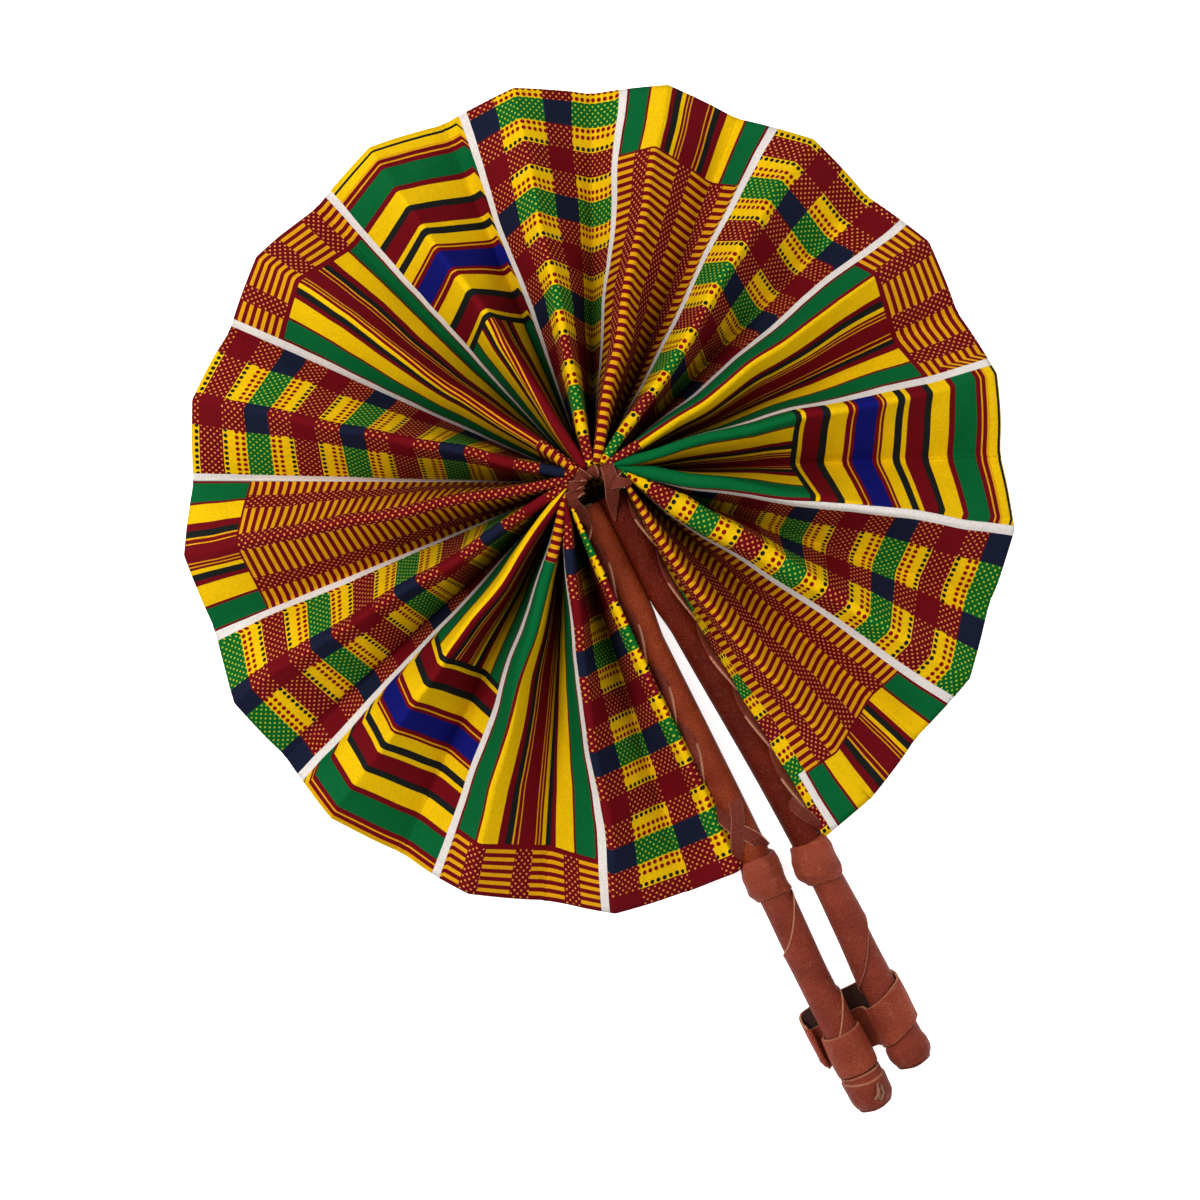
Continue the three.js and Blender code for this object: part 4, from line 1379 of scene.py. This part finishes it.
RING_LOW = 24.5
RING_HIGH = 30.6
RING_HOLE = 4.3
RING_CENTRE = (0.3, -1.0)
WRAPS = 6  # turns of thong that show on the horseshoe
WRAP_REACH = [4.6, 2.0, 3.4, 1.0, 3.4, 1.6]  # how far each one's point goes out over the pleats
WRAP_STEPS = 10
WRAP_RADIAL = 30
WRAP_SLIT = 0.004  # of a turn, left open between neighbours
RING_SIDE = 3.6  # how far its edges lie below its top
RING_CROWN = 2.0
RING_STEP = 1.5  # how far each wrap climbs over the one before it
TAIL = [(6.4, -1.6, 29.0), (8.0, -2.6, 30.4), (10.2, -3.7, 30.6), (12.9, -4.9, 29.4)]
TAIL_WIDTH = 4.6
TAIL_THICKNESS = 1.2


def ring_place(turn, share, height):
    """A point of the ring: turn runs from 0 at the left to pi at the right, share from hole to rim."""
    wrap = turn / math.pi * WRAPS
    petal = math.sin(math.pi * (wrap % 1)) ** 0.8
    reach = WRAP_REACH[min(WRAPS - 1, int(wrap))] * petal
    hole = RING_HOLE - 0.8 * (1 - petal)
    inner = Vector((RING_CENTRE[0] - hole * math.cos(turn), RING_CENTRE[1] + hole * math.sin(turn), 0))
    point = inner.lerp(horseshoe(turn, reach - 0.5), share)
    point.z = height
    return point


def ring_climb(turn, share):
    """How far up its own wrap a point lies: each wrap is slanted and lies over the one before it."""
    return (turn / math.pi * WRAPS + (share - 0.5) * 0.7) % 1


def ring_height(turn, share):
    crown = math.sin(math.pi * clamp(share, 0, 1)) ** 0.5
    puff = rough(turn * 9, share * 9, 3, 4) * 0.35
    climb = ring_climb(turn, share) ** 1.5
    return RING_HIGH - RING_SIDE + RING_CROWN * crown + RING_STEP * climb + puff * crown


def add_hub_lacing():
    radial = WRAP_RADIAL
    for j in range(1, PLEATS + 1):
        low, high = math.pi * (j - 1 + WRAP_SLIT) / PLEATS, math.pi * (j - WRAP_SLIT) / PLEATS
        rings = []
        turns = []
        for i in range(WRAP_STEPS + 1):
            turn = mix(low, high, i / WRAP_STEPS)
            turns.append(turn)
            top = []
            for k in range(radial + 1):
                top.append(ring_place(turn, k / radial, ring_height(turn, k / radial)))
            under = [ring_place(turn, share, RING_LOW + 0.3) for share in (1.0, 0.66, 0.33, 0.0)]
            rings.append(top + under)

        def cut(i, k):
            if k > radial:
                return 0.0
            return 0.95 * clamp(1.3 - (1 - ring_climb(turns[i], k / radial)) / 0.1)

        piece = outward(skin(f"hub_wrap_{j:02d}", rings, THONG_LEATHER, marks={"cut": cut}))
        fit(piece, f"fold_{j:02d}", "leather", f"hub_lace_{j:02d}")
        axis, anchor = fold_line(j)
        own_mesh(piece)
        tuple(axis)
        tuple(anchor)
    tail = thong("hub_thong_end", TAIL, TAIL_WIDTH, TAIL_THICKNESS, THONG_LEATHER,
                 narrow=lambda share: 0.94 * (1 - share) ** 0.45 + 0.06)
    fit(tail, "stick_b", "leather", "hub_lace_tail")


# The thong's two long ends, drawn down from the ring over the tops of the sticks: points and widths
THONG_ENDS = {
    "a": [
        (-10.2, 0.6, 28.6), (-9.3, -2.4, 27.6), (-8.4, -5.4, 24.4),
        (-7.8, -8.6, 21.6), (-7.6, -12.8, 20.4),
    ],
    "b": [
        (7.4, 4.4, 29.6), (7.0, 1.6, 31.0), (6.0, -1.8, 29.2),
        (4.3, -6.0, 24.8), (2.7, -10.0, 21.4), (1.3, -14.2, 19.7),
    ],
}
THONG_END_WIDTH = {"a": 4.6, "b": 4.8}


def add_thong_ends():
    for letter, points in THONG_ENDS.items():
        piece = thong(f"stick_{letter}_thong_end", points, THONG_END_WIDTH[letter], 1.3, THONG_LEATHER,
                      narrow=lambda share: 1 - 0.9 * clamp((share - 0.5) / 0.5) ** 1.6)
        fit(piece, f"stick_{letter}", "leather")


def add_cores():
    wood = Finish("plain wood")
    colour = wood.blend(wood.grain(6, 3, stretch=(1, 0.08, 1)), ink(190, 150, 100), ink(150, 108, 66))
    wood.link(colour, wood.shader.inputs["Base Color"])
    wood.shader.inputs["Roughness"].default_value = 0.6
    for letter in "ab":
        core = bpy.data.objects[f"stick_{letter}_core"]
        core.data.materials.clear()
        core.data.materials.append(wood.material)


add_camera()
add_studio()
add_leaf()
add_cores()
for letter, stick in STICKS.items():
    add_sleeve(letter, stick)
    add_lacing(letter, stick)
    add_grip(letter, stick)
    add_collar(letter, stick)
    cap_bore = add_cap(letter, stick)
    if letter == "a":
        add_cap_stitch(stick, cap_bore)
add_strap()
add_hub_lacing()
add_thong_ends()
